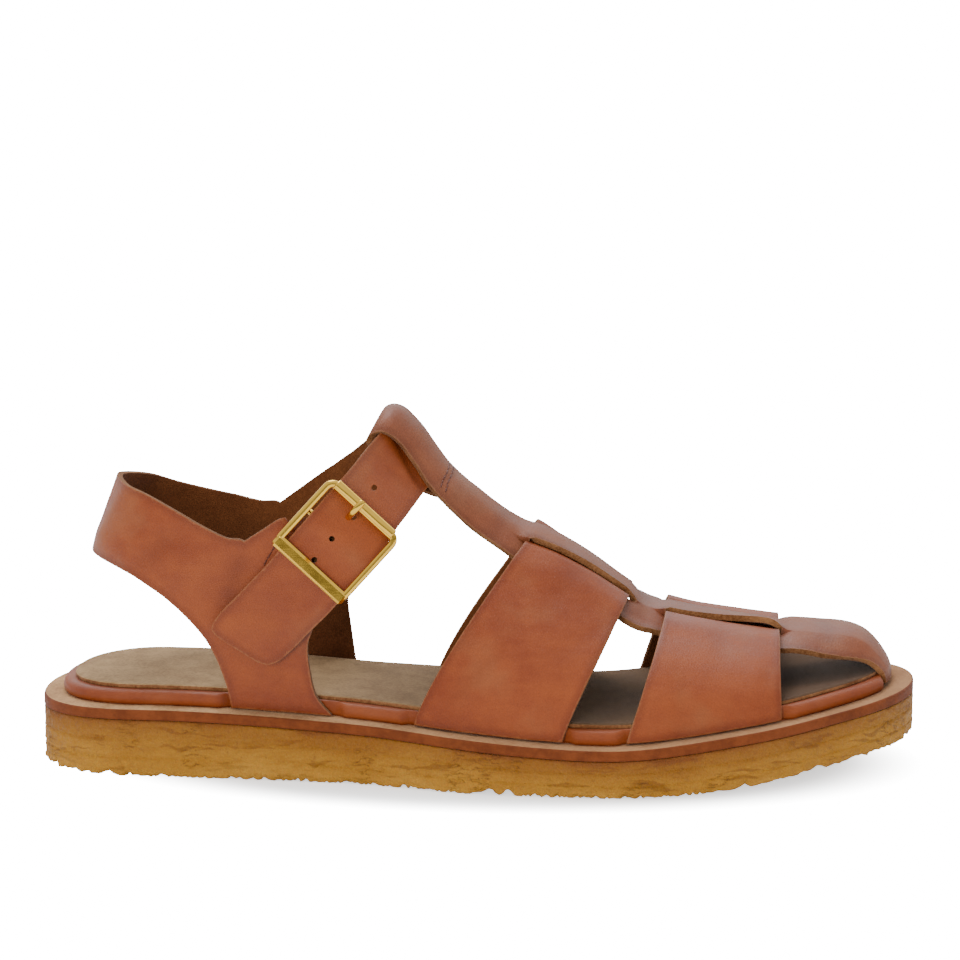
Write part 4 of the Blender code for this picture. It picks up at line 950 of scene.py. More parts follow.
@dataclass
class FrontStraps:
    """Centre strap with its slits and loop, and the two bands woven through it."""

    last: Last
    finishes: Finishes
    # x, z, y, tilt, radius, near half width, far half width
    rows: tuple = (
        (126.4, 26.3, 10.0, 86.0, 45.0, 13.5, 12.0), (126.0, 29.6, 10.0, 80.0, 44.0, 14.0, 12.0),
        (123.8, 33.5, 10.0, 62.0, 42.0, 14.8, 12.0), (121.0, 36.8, 10.0, 44.0, 40.0, 16.0, 12.0),
        (117.6, 39.1, 10.0, 25.0, 38.0, 17.2, 12.0), (112.5, 40.8, 10.0, 8.0, 38.0, 18.5, 11.5),
        (104.0, 41.3, 9.9, 0.0, 42.0, 19.5, 10.5), (93.0, 41.0, 9.5, 3.0, 48.0, 19.0, 9.5),
        (84.0, 42.0, 9.0, 7.0, 50.0, 18.0, 9.0), (75.0, 43.4, 8.5, 10.0, 45.0, 18.0, 9.0),
        (66.0, 45.1, 8.0, 12.0, 42.0, 18.0, 9.0), (58.0, 46.7, 7.3, 16.0, 38.0, 20.6, 9.0),
        (52.0, 49.0, 6.8, 24.0, 30.0, 21.4, 9.0), (46.0, 52.9, 6.3, 30.0, 26.0, 20.8, 9.0),
        (40.0, 57.4, 5.7, 32.0, 24.0, 19.2, 9.0), (34.0, 61.8, 5.0, 31.0, 22.0, 18.0, 9.0),
        (25.0, 67.3, 4.1, 30.0, 19.0, 18.0, 9.0), (17.0, 71.4, 3.5, 30.0, 18.0, 18.0, 9.0),
        (9.5, 76.0, 3.0, 34.0, 16.5, 16.6, 9.5), (2.4, 80.8, 2.5, 38.0, 16.5, 15.8, 10.0),
        (-4.0, 85.6, 2.2, 44.0, 16.5, 15.3, 10.5), (-9.0, 90.4, 2.0, 48.1, 16.3, 14.8, 11.0),
        (-12.3, 94.7, 2.0, 47.0, 16.0, 14.2, 11.5), (-15.6, 99.2, 2.0, 45.0, 15.5, 13.9, 11.5),
        (-18.9, 103.5, 2.0, 41.0, 14.8, 13.9, 11.3), (-22.3, 107.0, 2.0, 35.0, 13.8, 14.3, 10.0),
        (-25.3, 108.2, 2.0, 30.0, 13.0, 14.8, 9.0), (-27.7, 107.6, 2.0, 26.0, 12.5, 15.4, 8.6),
        (-28.4, 105.6, 2.0, 26.0, 12.3, 15.2, 8.6), (-26.6, 103.5, 2.0, 30.0, 12.6, 14.2, 9.4),
        (-22.9, 99.8, 2.0, 40.0, 13.0, 12.8, 10.8), (-18.8, 95.8, 2.0, 48.1, 13.5, 12.4, 10.8),
        (-15.1, 91.7, 2.0, 48.1, 13.5, 12.4, 10.8), (-11.6, 87.6, 2.0, 48.1, 13.8, 12.4, 10.8),
        (-8.4, 85.0, 2.1, 46.0, 14.2, 10.8, 10.2), (-4.9, 82.9, 2.2, 44.0, 15.0, 10.4, 9.6),
        (-2.0, 80.9, 2.3, 40.0, 15.0, 10.4, 9.0),
    )
    last_front_row: float = 20.0
    steps: int = 6
    near_slit: float = -10.5
    far_slit: float = 1.0
    slit_width: float = 0.24
    weaves: tuple = ((17.6, 46.8), (58.0, 92.5))
    slits: tuple = ((18.3, 49.3), (58.8, 93.4))
    near_lift: tuple = ((-19.0, -1.15), (-13.0, -1.15), (-10.6, -2.0))
    rail_lift: tuple = ((-10.4, 1.5), (-8.0, 1.25), (-0.8, 1.2), (0.9, 1.1))
    # place along the crest, and how far the near edge of the middle strip stands up there
    rail_edge: tuple = ((17.0, 0.0), (40.0, 0.2), (50.0, 0.0), (60.0, 0.0), (72.0, 0.5), (88.0, 1.9), (93.5, 0.6), (97.0, 0.0))
    far_lift: tuple = ((1.1, -2.0), (3.5, -1.15), (10.0, -1.15))
    band_lift: tuple = (
        (-40.0, 0.0), (-28.0, 0.4), (-18.5, 1.3), (-13.8, 1.2), (-12.2, 0.5), (-10.6, -0.8), (-9.0, -1.15),
        (-5.0, -1.15), (-0.7, -1.15), (1.4, 0.1), (3.4, 0.9), (9.5, 1.0), (18.0, 0.4), (28.0, 0.0),
    )
    sag: tuple = (
        (-30.0, 0.0), (8.0, 0.0), (17.0, 0.0), (44.0, -0.6), (51.0, -2.4), (57.0, -1.8), (64.0, -0.6),
        (88.0, -0.6), (95.0, -2.4), (103.0, -1.5), (112.0, -2.3), (119.0, -2.7), (127.0, -0.3),
    )
    corner_lift: float = 2.3
    centre_creases: tuple = (
        Crease(16.0, 1.0, 90.0, 30.0, 3.0, 0.22), Crease(27.0, 0.0, 84.0, 26.0, 3.6, -0.28),
        Crease(84.0, -2.0, 93.0, 24.0, 3.6, -0.32),
        Crease(78.0, 2.0, 86.0, 22.0, 2.4, 0.18), Crease(134.0, -3.0, 90.0, 26.0, 4.6, -0.30),
        Crease(145.0, -1.0, 87.0, 24.0, 3.2, 0.24),
        Crease(154.6, -3.0, 104.0, 13.5, 1.5, -0.26), Crease(185.0, 0.0, 92.0, 24.0, 3.0, -0.20),
        Crease(171.0, 0.0, 96.0, 22.0, 4.0, 0.25),
        Crease(110.0, 0.0, 4.0, 26.0, 2.2, 0.14), Crease(64.0, 0.0, -3.0, 24.0, 2.4, 0.12),
    )
    instep_creases: tuple = (
        Crease(17.0, -22.0, 86.0, 26.0, 4.0, -0.22), Crease(9.0, -58.0, 76.0, 26.0, 3.2, -0.24),
        Crease(25.0, -62.0, 97.0, 24.0, 2.8, 0.20),
        Crease(29.0, -36.0, 62.0, 22.0, 2.6, -0.16), Crease(6.0, -40.0, 110.0, 20.0, 2.6, 0.14),
        Crease(18.0, -71.0, 8.0, 30.0, 2.2, -0.22),
        Crease(14.0, 40.0, 92.0, 26.0, 4.0, -0.25), Crease(24.0, 55.0, 80.0, 22.0, 3.0, 0.20),
    )
    forefoot_creases: tuple = (
        Crease(17.0, -24.0, 90.0, 26.0, 4.0, -0.22), Crease(27.0, -46.0, 82.0, 22.0, 2.8, 0.22),
        Crease(9.0, -50.0, 98.0, 20.0, 2.6, -0.20),
        Crease(31.0, -36.0, 70.0, 18.0, 2.2, -0.18), Crease(18.0, -58.0, 5.0, 30.0, 2.0, -0.20),
        Crease(20.0, 36.0, 88.0, 22.0, 3.4, -0.24),
    )

    def weave_share(self, x: float) -> float:
        """How far the centre strap is parted at a place along the crest."""
        share = 0.0
        for start, end in self.weaves:
            share = max(share, float(ease(x, start - 4.0, start + 2.0) * (1.0 - ease(x, end - 2.0, end + 4.0))))
        return share

    def slit_here(self, x: float) -> bool:
        """Whether the slits are cut at a place along the crest."""
        return any(start < x < end for start, end in self.slits)

    def travels(self, near: float, far: float) -> np.ndarray:
        """Places across the centre strap, with a narrow column at each slit."""
        half = self.slit_width / 2.0
        first = np.linspace(-near, self.near_slit - half, 8)
        second = np.linspace(self.near_slit + half, self.far_slit - half, 12)
        return np.concatenate([first, second, np.linspace(self.far_slit + half, far, 9)])

    def centre_sheet(self) -> Sheet:
        """Centre strap from its foot at the toe, over the instep and round the ankle strap."""
        rows = refine(self.rows, self.steps)
        points = np.zeros((len(rows), 29, 3))
        lift = np.zeros((len(rows), 29))
        fronts = []
        for number, (x, z, y, tilt, radius, near, far) in enumerate(rows):
            front = number / self.steps < self.last_front_row
            fronts.append(front)
            travels = self.travels(near, far)
            fall = radius * (1.0 - np.cos(travels / radius))
            lean = math.radians(tilt)
            side = y + radius * np.sin(travels / radius)
            line = np.stack([x - math.sin(lean) * fall, side, z - math.cos(lean) * fall], axis=1)
            on_form = float(ease(x, -6.0, 6.0) * (1.0 - ease(x, 95.0, 107.0))) if front else 0.0
            if on_form > 0.0:
                line = line * (1.0 - on_form) + self.last.form_points(float(x), travels) * on_form
            points[number] = line
            if front:
                parted = np.concatenate([
                    read_table(self.near_lift, travels[:8]), read_table(self.rail_lift, travels[8:20]),
                    read_table(self.far_lift, travels[20:]),
                ])
                edge = np.clip((travels - self.far_slit) / (self.near_slit - self.far_slit), 0.0, 1.0) ** 2
                edge[:8] = 0.0
                parted = parted + edge * float(read_table(self.rail_edge, x))
                droop = np.clip((self.near_slit - travels) / 8.0, 0.0, 1.0) * float(read_table(self.sag, x))
                lift[number] = self.weave_share(float(x)) * parted + droop

        def skip(row: int, column: int) -> bool:
            """Whether a face lies in a slit."""
            return column in (7, 19) and fronts[row] and self.slit_here(float(rows[row][0]))

        return Sheet(points, lift, self.centre_creases, skip)

    def band_sheet(self, start: float, end: float, creases: tuple) -> Sheet:
        """Cross band from its near foot through the slits to its far foot."""
        lines = []
        lifts = []
        for crest_x in np.linspace(start, end, 30):
            near = self.last.section(crest_x, Side.NEAR.value)[1][-1]
            far = self.last.section(crest_x, Side.FAR.value)[1][-1]
            travels = np.concatenate([
                np.linspace(-near, -22.0, 42)[:-1], np.linspace(-22.0, 20.0, 48)[:-1], np.linspace(20.0, far, 40),
            ])
            lines.append(self.last.form_points(float(crest_x), travels))
            corner = np.exp(-((crest_x - start) / 7.0) ** 2) * np.exp(-((travels - 6.0) / 5.0) ** 2)
            corner_lift = self.corner_lift if start < 30.0 else 0.3 * self.corner_lift
            lifts.append(read_table(self.band_lift, travels) + corner * corner_lift)
        return Sheet(np.array(lines), np.array(lifts), creases)

    def build(self) -> None:
        """Make the three straps."""
        # the centre strap takes the paler copy of the hide, a painted sheen of the top light
        cut_leather("centre_strap", [self.centre_sheet()], self.finishes, self.strap_outward,
                    materials=[self.finishes.painted_sheen, self.finishes.cut, self.finishes.flesh])
        cut_leather("instep_band", [self.band_sheet(*self.weaves[0], self.instep_creases)], self.finishes, from_foot)
        cut_leather("forefoot_band", [self.band_sheet(*self.weaves[1], self.forefoot_creases)], self.finishes, from_foot)

    @staticmethod
    def strap_outward(place: Vector) -> Vector:
        """Direction out of the centre strap, for its long front part."""
        return Vector((0.3, 0.0, 1.0)) if place.x > 0.0 else Vector((0.0, 0.0, 0.0))


@dataclass(frozen=True)
class BuckleSeat:
    """Where the buckle sits on the near side of the ankle."""

    centre: tuple = (-38.2, -31.0, 73.4)
    turn: float = 40.8
    lean: float = 10.0

    def axes(self) -> tuple[Vector, Vector, Vector]:
        """Directions along the strap, across it and out of it."""
        turn, lean = math.radians(self.turn), math.radians(self.lean)
        along = Vector((math.sin(turn) * math.cos(lean), math.sin(lean), math.cos(turn) * math.cos(lean)))
        across = Vector((math.cos(turn), 0.0, -math.sin(turn)))
        outward = across.cross(along).normalized()
        return along, across, -outward if outward.y > 0.0 else outward

    def point(self, station: float, place: float, height: float) -> np.ndarray:
        """Point given along, across and out of the buckle."""
        along, across, outward = self.axes()
        made = Vector(self.centre) + along * station + across * place + outward * height
        return np.array(made)


@dataclass
class Quarter:
    """Heel strap and quarters, with the chape and the ankle strap that grow out of them."""

    last: Last
    finishes: Finishes
    seat: BuckleSeat
    # lower x, lower z, upper x, upper z
    near_rows: tuple = (
        (-71.2, 0.0, -40.7, 0.0), (-72.4, 26.7, -45.4, 25.0), (-74.1, 32.7, -47.2, 33.5),
        (-76.0, 38.0, -47.5, 41.0), (-78.3, 42.3, -46.0, 47.5),
    )
    near_join: tuple = ((-80.8, 45.6, -51.0, 53.7), (-83.5, 48.5, -56.0, 59.9), (-87.0, 51.7, -61.0, 66.1))
    near_heel: tuple = (
        (-91.0, 54.8, -66.0, 72.3), (-95.5, 57.4, -71.5, 73.3), (-101.0, 60.1, -78.5, 76.4),
        (-107.0, 62.2, -87.5, 80.8), (-112.5, 63.4, -96.5, 84.4), (-116.3, 64.0, -104.5, 86.3),
    )
    back_row: tuple = (-118.0, 64.2, -110.6, 86.2)
    far_heel: tuple = (
        (-116.3, 63.8, -104.5, 83.4), (-112.5, 63.0, -96.5, 79.6), (-107.0, 61.6, -88.0, 76.8),
        (-101.0, 59.6, -80.0, 74.8), (-95.5, 57.0, -72.5, 72.9), (-91.0, 54.4, -66.0, 72.4),
    )
    far_join: tuple = ((-87.0, 51.4, -60.6, 65.8), (-83.5, 48.2, -55.2, 59.2), (-80.8, 45.2, -49.8, 52.6))
    far_rows: tuple = (
        (-78.3, 41.8, -44.4, 46.0), (-76.0, 37.5, -44.0, 40.5), (-74.1, 32.2, -42.6, 33.5),
        (-72.4, 26.2, -41.2, 26.0), (-71.2, 0.0, -40.0, 0.0),
    )
    chape_rows: tuple = ((-60.4, 76.0, -43.4, 50.6), (-54.9, 79.4, -40.3, 55.0))
    chape_bar: tuple = ((-7.5, 0.0, 14.2, 10.6), (-5.0, 0.2, 13.9, 10.2), (-3.0, 0.6, 13.0, 10.0))
    fold_radius: float = 2.25
    fold_depth: float = -1.2
    fold_angles: tuple = (120.0, 90.0, 60.0, 30.0, 0.0, -30.0, -60.0, -90.0)
    chape_tail: tuple = ((-3.5, -3.3), (-7.0, -2.4), (-11.0, -1.6))
    ankle_crest: tuple = (-17.7, 2.0, 96.85)
    ankle_tilt: float = 48.1
    # y, drop, shift, turn, upper half width, lower half width
    ankle_rows: tuple = (
        (33.4, 38.0, 0.0, 0.0, 12.6, 10.9), (32.0, 31.0, 0.0, 0.0, 11.8, 10.9), (29.6, 24.5, 0.0, 0.0, 11.2, 10.9),
        (26.2, 18.5, 0.0, 0.0, 10.9, 10.9), (22.4, 13.5, 0.0, 0.0, 10.9, 10.9), (18.2, 9.6, 0.0, 0.0, 10.9, 10.9),
        (14.4, 6.3, 0.0, 0.0, 10.9, 10.9), (11.0, 3.3, 0.0, 0.0, 10.9, 10.9), (7.0, 0.9, 0.0, 0.0, 10.9, 10.9),
        (2.0, 0.0, 0.0, 0.0, 10.9, 10.9), (-3.0, 0.9, 0.0, 0.3, 10.9, 10.9), (-7.0, 3.3, 0.1, 0.7, 10.9, 10.9),
        (-10.8, 6.3, 0.4, 1.4, 10.9, 10.9), (-15.4, 9.6, 0.9, 2.6, 10.9, 10.9), (-20.4, 12.7, 1.5, 4.0, 10.9, 10.9),
        (-25.4, 15.9, 2.1, 5.4, 10.9, 10.9),
    )
    free_rows: tuple = (
        (0.0, 50.0, 6.4, 6.6, 10.9, 12.2), (0.0, 57.0, 6.9, 6.2, 10.9, 12.0), (0.0, 63.0, 7.4, 6.5, 10.9, 12.0),
        (0.0, 68.5, 7.7, 9.0, 10.9, 11.9), (0.0, 72.3, 8.0, 12.0, 10.6, 11.3), (0.0, 74.8, 8.1, 14.0, 9.4, 9.9),
        (0.0, 75.8, 8.2, 14.5, 7.0, 7.4),
    )
    # station along the strap, height, lower half width
    thread: tuple = (
        (12.0, 1.1, 11.1), (7.0, 2.0, 12.5), (2.5, 3.2, 12.9), (-2.0, 3.3, 13.0), (-7.0, 2.7, 13.0), (-12.0, 2.35, 12.6),
    )
    wall: float = 2.0
    steps: int = 6
    quarter_creases: tuple = (
        Crease(12.0, 4.0, 4.0, 20.0, 2.6, -0.20), Crease(27.0, -2.0, 22.0, 24.0, 3.4, -0.26),
        Crease(44.0, 5.0, 58.0, 24.0, 3.4, -0.36),
        Crease(53.0, 0.0, 68.0, 24.0, 4.4, 0.26), Crease(66.0, -2.0, 80.0, 24.0, 5.0, -0.30),
        Crease(83.0, 1.0, 90.0, 24.0, 5.5, 0.24),
        Crease(97.0, 0.0, 94.0, 22.0, 4.0, -0.22), Crease(128.0, 0.0, 88.0, 24.0, 5.0, -0.26),
        Crease(156.0, 2.0, 112.0, 24.0, 4.0, 0.26),
        Crease(170.0, 4.0, 122.0, 22.0, 3.4, -0.32), Crease(188.0, -2.0, 160.0, 22.0, 3.2, -0.24),
    )
    chape_creases: tuple = (Crease(5.0, 0.0, 86.0, 24.0, 2.4, -0.20), Crease(12.0, -3.0, 80.0, 18.0, 2.0, 0.14))
    # the first ankle crease lies just under the loop's edge, where the hide paints shade into its trough for the loop's
    # shadow on the strap
    ankle_creases: tuple = (
        Crease(79.6, 0.0, 68.0, 22.0, 2.2, -0.75), Crease(34.4, -8.0, 20.0, 9.0, 1.1, -0.45),
        Crease(22.8, -8.0, 100.0, 6.0, 0.9, -0.40),
        Crease(60.0, 0.0, 90.0, 22.0, 4.0, -0.24), Crease(88.0, 1.0, 92.0, 18.0, 2.6, -0.20),
        Crease(96.0, -4.0, 70.0, 16.0, 2.0, 0.14),
        Crease(107.0, 3.0, 84.0, 18.0, 2.4, -0.18), Crease(117.0, -2.0, 97.0, 16.0, 2.0, 0.14),
        Crease(143.0, 0.0, 86.0, 20.0, 3.0, 0.20),
        Crease(151.0, 3.0, 60.0, 16.0, 2.4, -0.16),
    )
    # places of the holes in the shoe
    holes: tuple = ((-28.4, -23.0, 87.3), (-33.5, -31.9, 79.9), (-39.6, -34.6, 73.8), (-44.8, -35.2, 67.5))
    hole_radius: float = 0.85

    def quarter_line(self, row: Sequence[float], side: float, columns: int = 6) -> np.ndarray:
        """Points across the quarter from its lower edge to its upper edge."""
        lower_x, lower_z, upper_x, upper_z = row
        lift = self.last.sizes.foot_lift
        lower_z = lower_z or float(self.last.rim(lower_x)) + lift
        upper_z = upper_z or float(self.last.rim(upper_x)) + lift
        start = self.last.heel_girth(lower_x, lower_z, side)
        end = self.last.heel_girth(upper_x, upper_z, side)
        shares = np.linspace(0.0, 1.0, columns)
        return np.array([self.last.heel_place(start + (end - start) * s, lower_z + (upper_z - lower_z) * s) for s in shares])

    def ankle_line(self, row: Sequence[float], count: int) -> np.ndarray:
        """Points across the ankle strap from its upper to its lower edge."""
        y, drop, shift, turn, upper, lower = row
        tilt = math.radians(self.ankle_tilt)
        rise = np.array((math.sin(tilt), 0.0, math.cos(tilt)))
        width = np.array((math.cos(tilt), 0.0, -math.sin(tilt)))
        centre = np.array((self.ankle_crest[0], y, self.ankle_crest[2])) - rise * drop + width * shift
        angle = math.radians(self.ankle_tilt - turn)
        lean = np.array((math.cos(angle), 0.0, -math.sin(angle)))
        return centre + lean * np.linspace(-upper, lower, count)[:, None]

    @staticmethod
    def soften(net: np.ndarray, first: int, last: int, times: int) -> np.ndarray:
        """Even out rows of a net where the strap enters the buckle."""
        for _ in range(times):
            net[first:last] = 0.5 * net[first:last] + 0.25 * (net[first - 1:last - 1] + net[first + 1:last + 1])
        return net

    def sheets(self) -> list[Sheet]:
        """The quarter, the chape and the ankle strap, joined along shared edges."""
        near_all = self.near_rows + self.near_join + self.near_heel
        far_all = self.far_heel + self.far_join + self.far_rows
        rows = [self.quarter_line(row, -1.0) for row in near_all] + [self.quarter_line(self.back_row, 1.0)]
        rows += [self.quarter_line(row, 1.0) for row in far_all]
        near_first = len(self.near_rows) - 1
        near_last = near_first + len(self.near_join) + 1
        far_first = len(near_all) + len(self.far_heel)
        far_last = far_first + len(self.far_join) + 1
        shell = Sheet(refine(refine(rows, self.steps, 0), self.steps, 1), None, self.quarter_creases,
                      axis_z=50.0)
        near_edge = shell.points[near_first * self.steps:near_last * self.steps + 1, -1][::-1]
        far_edge = shell.points[far_first * self.steps:far_last * self.steps + 1, -1]
        count = near_last - near_first + 1
        chape = [near_edge[::self.steps]]
        for upper_x, upper_z, lower_x, lower_z in self.chape_rows:
            shares = np.linspace(0.0, 1.0, count)
            chape.append([self.last.heel_point(upper_x + (lower_x - upper_x) * s, upper_z + (lower_z - upper_z) * s, -1.0)
                          for s in shares])
        for station, height, upper, lower in self.chape_bar:
            chape.append([self.seat.point(station, place, height) for place in np.linspace(-upper, lower, count)])
        for angle in self.fold_angles:
            turn = math.radians(angle)
            station = self.fold_radius * math.cos(turn)
            height = self.fold_depth + self.fold_radius * math.sin(turn)
            chape.append([self.seat.point(station, place, height) for place in np.linspace(-10.0, 10.0, count)])
        for station, height in self.chape_tail:
            chape.append([self.seat.point(station, place, height) for place in np.linspace(-9.8, 9.8, count)])
        strap = [far_edge[::self.steps]]
        strap += [self.ankle_line(row, count) for row in self.ankle_rows]
        for station, height, lower in self.thread:
            strap.append([self.seat.point(station, place, height) for place in np.linspace(-10.9, lower, count)])
        for row in self.free_rows:
            line = self.ankle_line(row, count)
            line[:, 1] = [self.last.heel_point(p[0], p[2], -1.0)[1] - self.wall - 0.4 for p in line]
            strap.append(line)
        chape_net = refine(refine(chape, self.steps, 0), self.steps, 1)
        strap_net = self.soften(refine(refine(strap, self.steps, 0), self.steps, 1), 84, 118, 24)
        chape_sheet = Sheet(chape_net, None, self.chape_creases)
        strap_sheet = Sheet(strap_net, None, self.ankle_creases)
        chape_sheet.points[0] = near_edge
        strap_sheet.points[0] = far_edge
        return [shell, chape_sheet, strap_sheet]

    def build(self) -> None:
        """Make the quarter piece and punch its holes."""
        made = cut_leather("quarters_and_ankle_strap", self.sheets(), self.finishes, from_heel)
        soft = made.modifiers["Soft edges"]
        cutter = self.hole_cutter()
        punch = made.modifiers.new("Holes", "BOOLEAN")
        punch.operation = "DIFFERENCE"
        punch.solver = "EXACT"
        punch.object = cutter
        made.modifiers.move(made.modifiers.find("Holes"), 1)
        soft.show_viewport = False
        graph = bpy.context.evaluated_depsgraph_get()
        graph.update()
        mesh = bpy.data.meshes.new_from_object(made.evaluated_get(graph), depsgraph=graph)
        soft.show_viewport = True
        made.modifiers.remove(made.modifiers["Wall"])
        made.modifiers.remove(made.modifiers["Holes"])
        made.data = mesh
        bpy.data.objects.remove(cutter, do_unlink=True)

    def hole_cutter(self) -> bpy.types.Object:
        """Punches for the holes of the ankle strap."""
        shape = bmesh.new()
        _, _, outward = self.seat.axes()
        turn = outward.to_track_quat("Z", "Y").to_matrix()
        for place in self.holes:
            made = bmesh.ops.create_cone(shape, cap_ends=True, segments=20, radius1=self.hole_radius * MM,
                                         radius2=self.hole_radius * MM, depth=5.0 * MM)
            bmesh.ops.rotate(shape, verts=made["verts"], matrix=turn, cent=(0.0, 0.0, 0.0))
            bmesh.ops.translate(shape, verts=made["verts"], vec=Vector((place[0], place[1] + SIDE_SHIFT, place[2])) * MM)
        mesh = bpy.data.meshes.new("hole_punch")
        shape.to_mesh(mesh)
        shape.free()
        cutter = bpy.data.objects.new("hole_punch", mesh)
        bpy.context.scene.collection.objects.link(cutter)
        for finish in self.finishes.leather_set():
            mesh.materials.append(finish)
        mesh.polygons.foreach_set("material_index", [Face.CUT.value] * len(mesh.polygons))
        return cutter


# ---- sole


@dataclass
class Sole:
    """Crepe outsole, runner, wrapped footbed and sock."""

    last: Last
    finishes: Finishes
    runner_thick: float = 3.0
    gap: float = 0.3
    footbed_inset: float = 6.0
    footbed_thick: float = 4.1
    sock_inset: float = 9.6
    sock_thick: float = 1.0
    # across share, height share, outward
    crepe_side: tuple = (
        (1.0, 0.0, -0.4), (1.0, 0.04, -0.1), (1.0, 0.09, 0.0), (1.0, 0.28, 0.0), (1.0, 0.32, -0.3),
        (1.0, 0.36, 0.0), (1.0, 0.62, 0.0), (1.0, 0.66, -0.3), (1.0, 0.70, 0.0), (1.0, 0.95, 0.0), (1.0, 1.0, -0.08),
    )
    feet: tuple = ((-73.5, -38.0), (-17.5, 31.5), (46.5, 95.5))

    def stations(self, inset: float, heel: int, toe: int, body: int) -> np.ndarray:
        """Places along the sole, closer together at the round ends."""
        sizes = self.last.sizes
        half = sizes.length / 2.0 - inset
        heel_round, toe_round = sizes.heel_round - inset, sizes.toe_round - inset
        first = -half + heel_round * (1.0 - np.cos(0.5 * math.pi * np.arange(heel) / heel))
        last = half - toe_round * (1.0 - np.cos(0.5 * math.pi * np.arange(toe) / toe))
        return np.concatenate([first, np.linspace(-half + heel_round, half - toe_round, body), last[::-1]])

    def plate_net(self, inset: float, profile: Sequence[Sequence[float]], low: Callable, high: Callable,
                  xs: np.ndarray) -> np.ndarray:
        """Rings round a plate, one for each place along the sole.

        Args:
            inset: How far inside the outline the plate ends.
            profile: Half section from the top middle round to the bottom middle.
            low: Height of the lower face.
            high: Height of the upper face.
            xs: Places along the sole.

        Returns:
            Rows of ring points.
        """
        half = self.last.sizes.length / 2.0 - inset
        around = [(*row, -1.0) for row in profile] + [(*row, 1.0) for row in list(profile)[::-1]][1:]
        columns = []
        for across, level, outward, side in around:
            place = xs * (half + outward) / half
            middle = self.last.middle(xs)
            reach = np.abs(self.last.outline(xs, side, inset) - middle)
            closing = np.minimum(reach / 4.0, 1.0)
            y = middle + side * across * np.maximum(reach + outward * closing, 0.0)
            columns.append(np.stack([place, y, low(place) + (high(place) - low(place)) * level], axis=1))
        return np.stack(columns, axis=1)

    def side_directions(self, net: np.ndarray) -> np.ndarray:
        """Level directions out of the side of a plate."""
        ahead = np.gradient(net, axis=0)
        middle = self.last.middle(net[:, :, 0])
        side = np.where(net[:, :, 1] >= middle, 1.0, -1.0)
        out = np.stack([-ahead[:, :, 1] * side, ahead[:, :, 0] * side], axis=2)
        return out / np.maximum(np.linalg.norm(out, axis=2, keepdims=True), 1e-9)

    def plate(self, name: str, net: np.ndarray, finishes: Sequence[bpy.types.Material], node: str,
              paint: Callable[[int, int], int] | None = None) -> bpy.types.Object:
        """Make a closed plate from its rings.

        Args:
            name: Name of the piece.
            net: Rings of points.
            finishes: Materials of the piece.
            node: Solid that the plate stands for.
            paint: Material number for a ring column, counted from the top middle.

        Returns:
            The new piece.
        """
        rows, columns = net.shape[:2]
        part = bmesh.new()
        bmesh.ops.create_grid(part, x_segments=rows - 1, y_segments=columns - 1, size=1.0)
        for face in part.faces:
            column = int((face.calc_center_median().y + 1.0) * 0.5 * (columns - 1))
            face.material_index = paint(min(column, columns - 2 - column), columns) if paint else 0
        for vertex in part.verts:
            row = int(round((vertex.co.x + 1.0) * 0.5 * (rows - 1)))
            column = int(round((vertex.co.y + 1.0) * 0.5 * (columns - 1)))
            place = net[row, column]
            vertex.co = Vector((place[0], place[1] + SIDE_SHIFT, place[2])) * MM
        bmesh.ops.remove_doubles(part, verts=part.verts[:], dist=PLATE_REACH)
        bmesh.ops.recalc_face_normals(part, faces=part.faces[:])
        if part.calc_volume(signed=True) < 0.0:
            bmesh.ops.reverse_faces(part, faces=part.faces[:])
        layer = part.verts.layers.float.new("edge_mm")
        for vertex in part.verts:
            vertex[layer] = EDGE_REACH
        return make_object(name, part, finishes, [node])

    def crepe(self) -> None:
        """Crepe slab with a crumbly side."""
        side = np.array(self.crepe_side)[::-1]
        levels = np.unique(np.concatenate([side[:, 1], np.linspace(0.0, 1.0, 17)]))[::-1]
        outs = np.interp(levels, side[::-1, 1], side[::-1, 2])
        profile = [(0.0, 1.0, -0.8), (0.5, 1.0, -0.8), (1.0, 1.0, -0.9)]
        profile += [(1.0, float(level), float(out)) for level, out in zip(levels, outs)]
        profile += [(across, 0.0, -1.4) for across in (1.0, 0.9, 0.75, 0.5, 0.25, 0.0)]
        xs = self.stations(0.0, 44, 60, 260)
        low = self.last.ground
        net = self.plate_net(0.0, profile, low, lambda x: self.last.rim(x) - self.runner_thick - self.gap, xs)
        out = self.side_directions(net)
        first, final = 3, 3 + len(levels)
        columns = list(range(first, final)) + list(range(net.shape[1] - final, net.shape[1] - first))
        for row in range(net.shape[0]):
            fade = min(row, net.shape[0] - 1 - row, 2) / 2.0
            for column in columns:
                place = net[row, column]
                level = (place[2] - float(low(place[0]))) / 14.0
                broad = noise.noise(Vector((place[0] * 0.10, place[1] * 0.10, place[2] * 0.5)))
                layer = noise.noise(Vector((place[0] * 0.30, place[1] * 0.30 + 7.0, place[2] * 1.9)))
                crumb = noise.noise(Vector((place[0] * 0.9, place[1] * 0.9 + 3.0, place[2] * 1.1)))
                amount = 0.16 * broad + 0.20 * layer + 0.22 * crumb
                if level < 0.2:
                    bite = noise.noise(Vector((place[0] * 0.45, place[1] * 0.45, 2.0)))
                    bite += 0.7 * noise.noise(Vector((place[0] * 1.3, place[1] * 1.3, place[2] * 1.2)))
                    amount += (0.2 - level) * 3.6 * bite
                net[row, column, :2] += out[row, column] * (amount - 0.15) * fade
                if level < 0.25:
                    net[row, column, 2] += self.bitten(place) * (1.0 - level / 0.25) * fade
            for side, place in ((1, net[row, final - 1].copy()), (-1, net[row, net.shape[1] - final].copy())):
                for inward, share in ((0, 1.0), (1, 0.6)):
                    column = final + inward if side > 0 else net.shape[1] - 1 - final - inward
                    net[row, column, 2] += self.bitten(place) * share * fade
        made = self.plate("crepe_outsole", net, [self.finishes.crepe], "outsole")
        self.store_level(made)

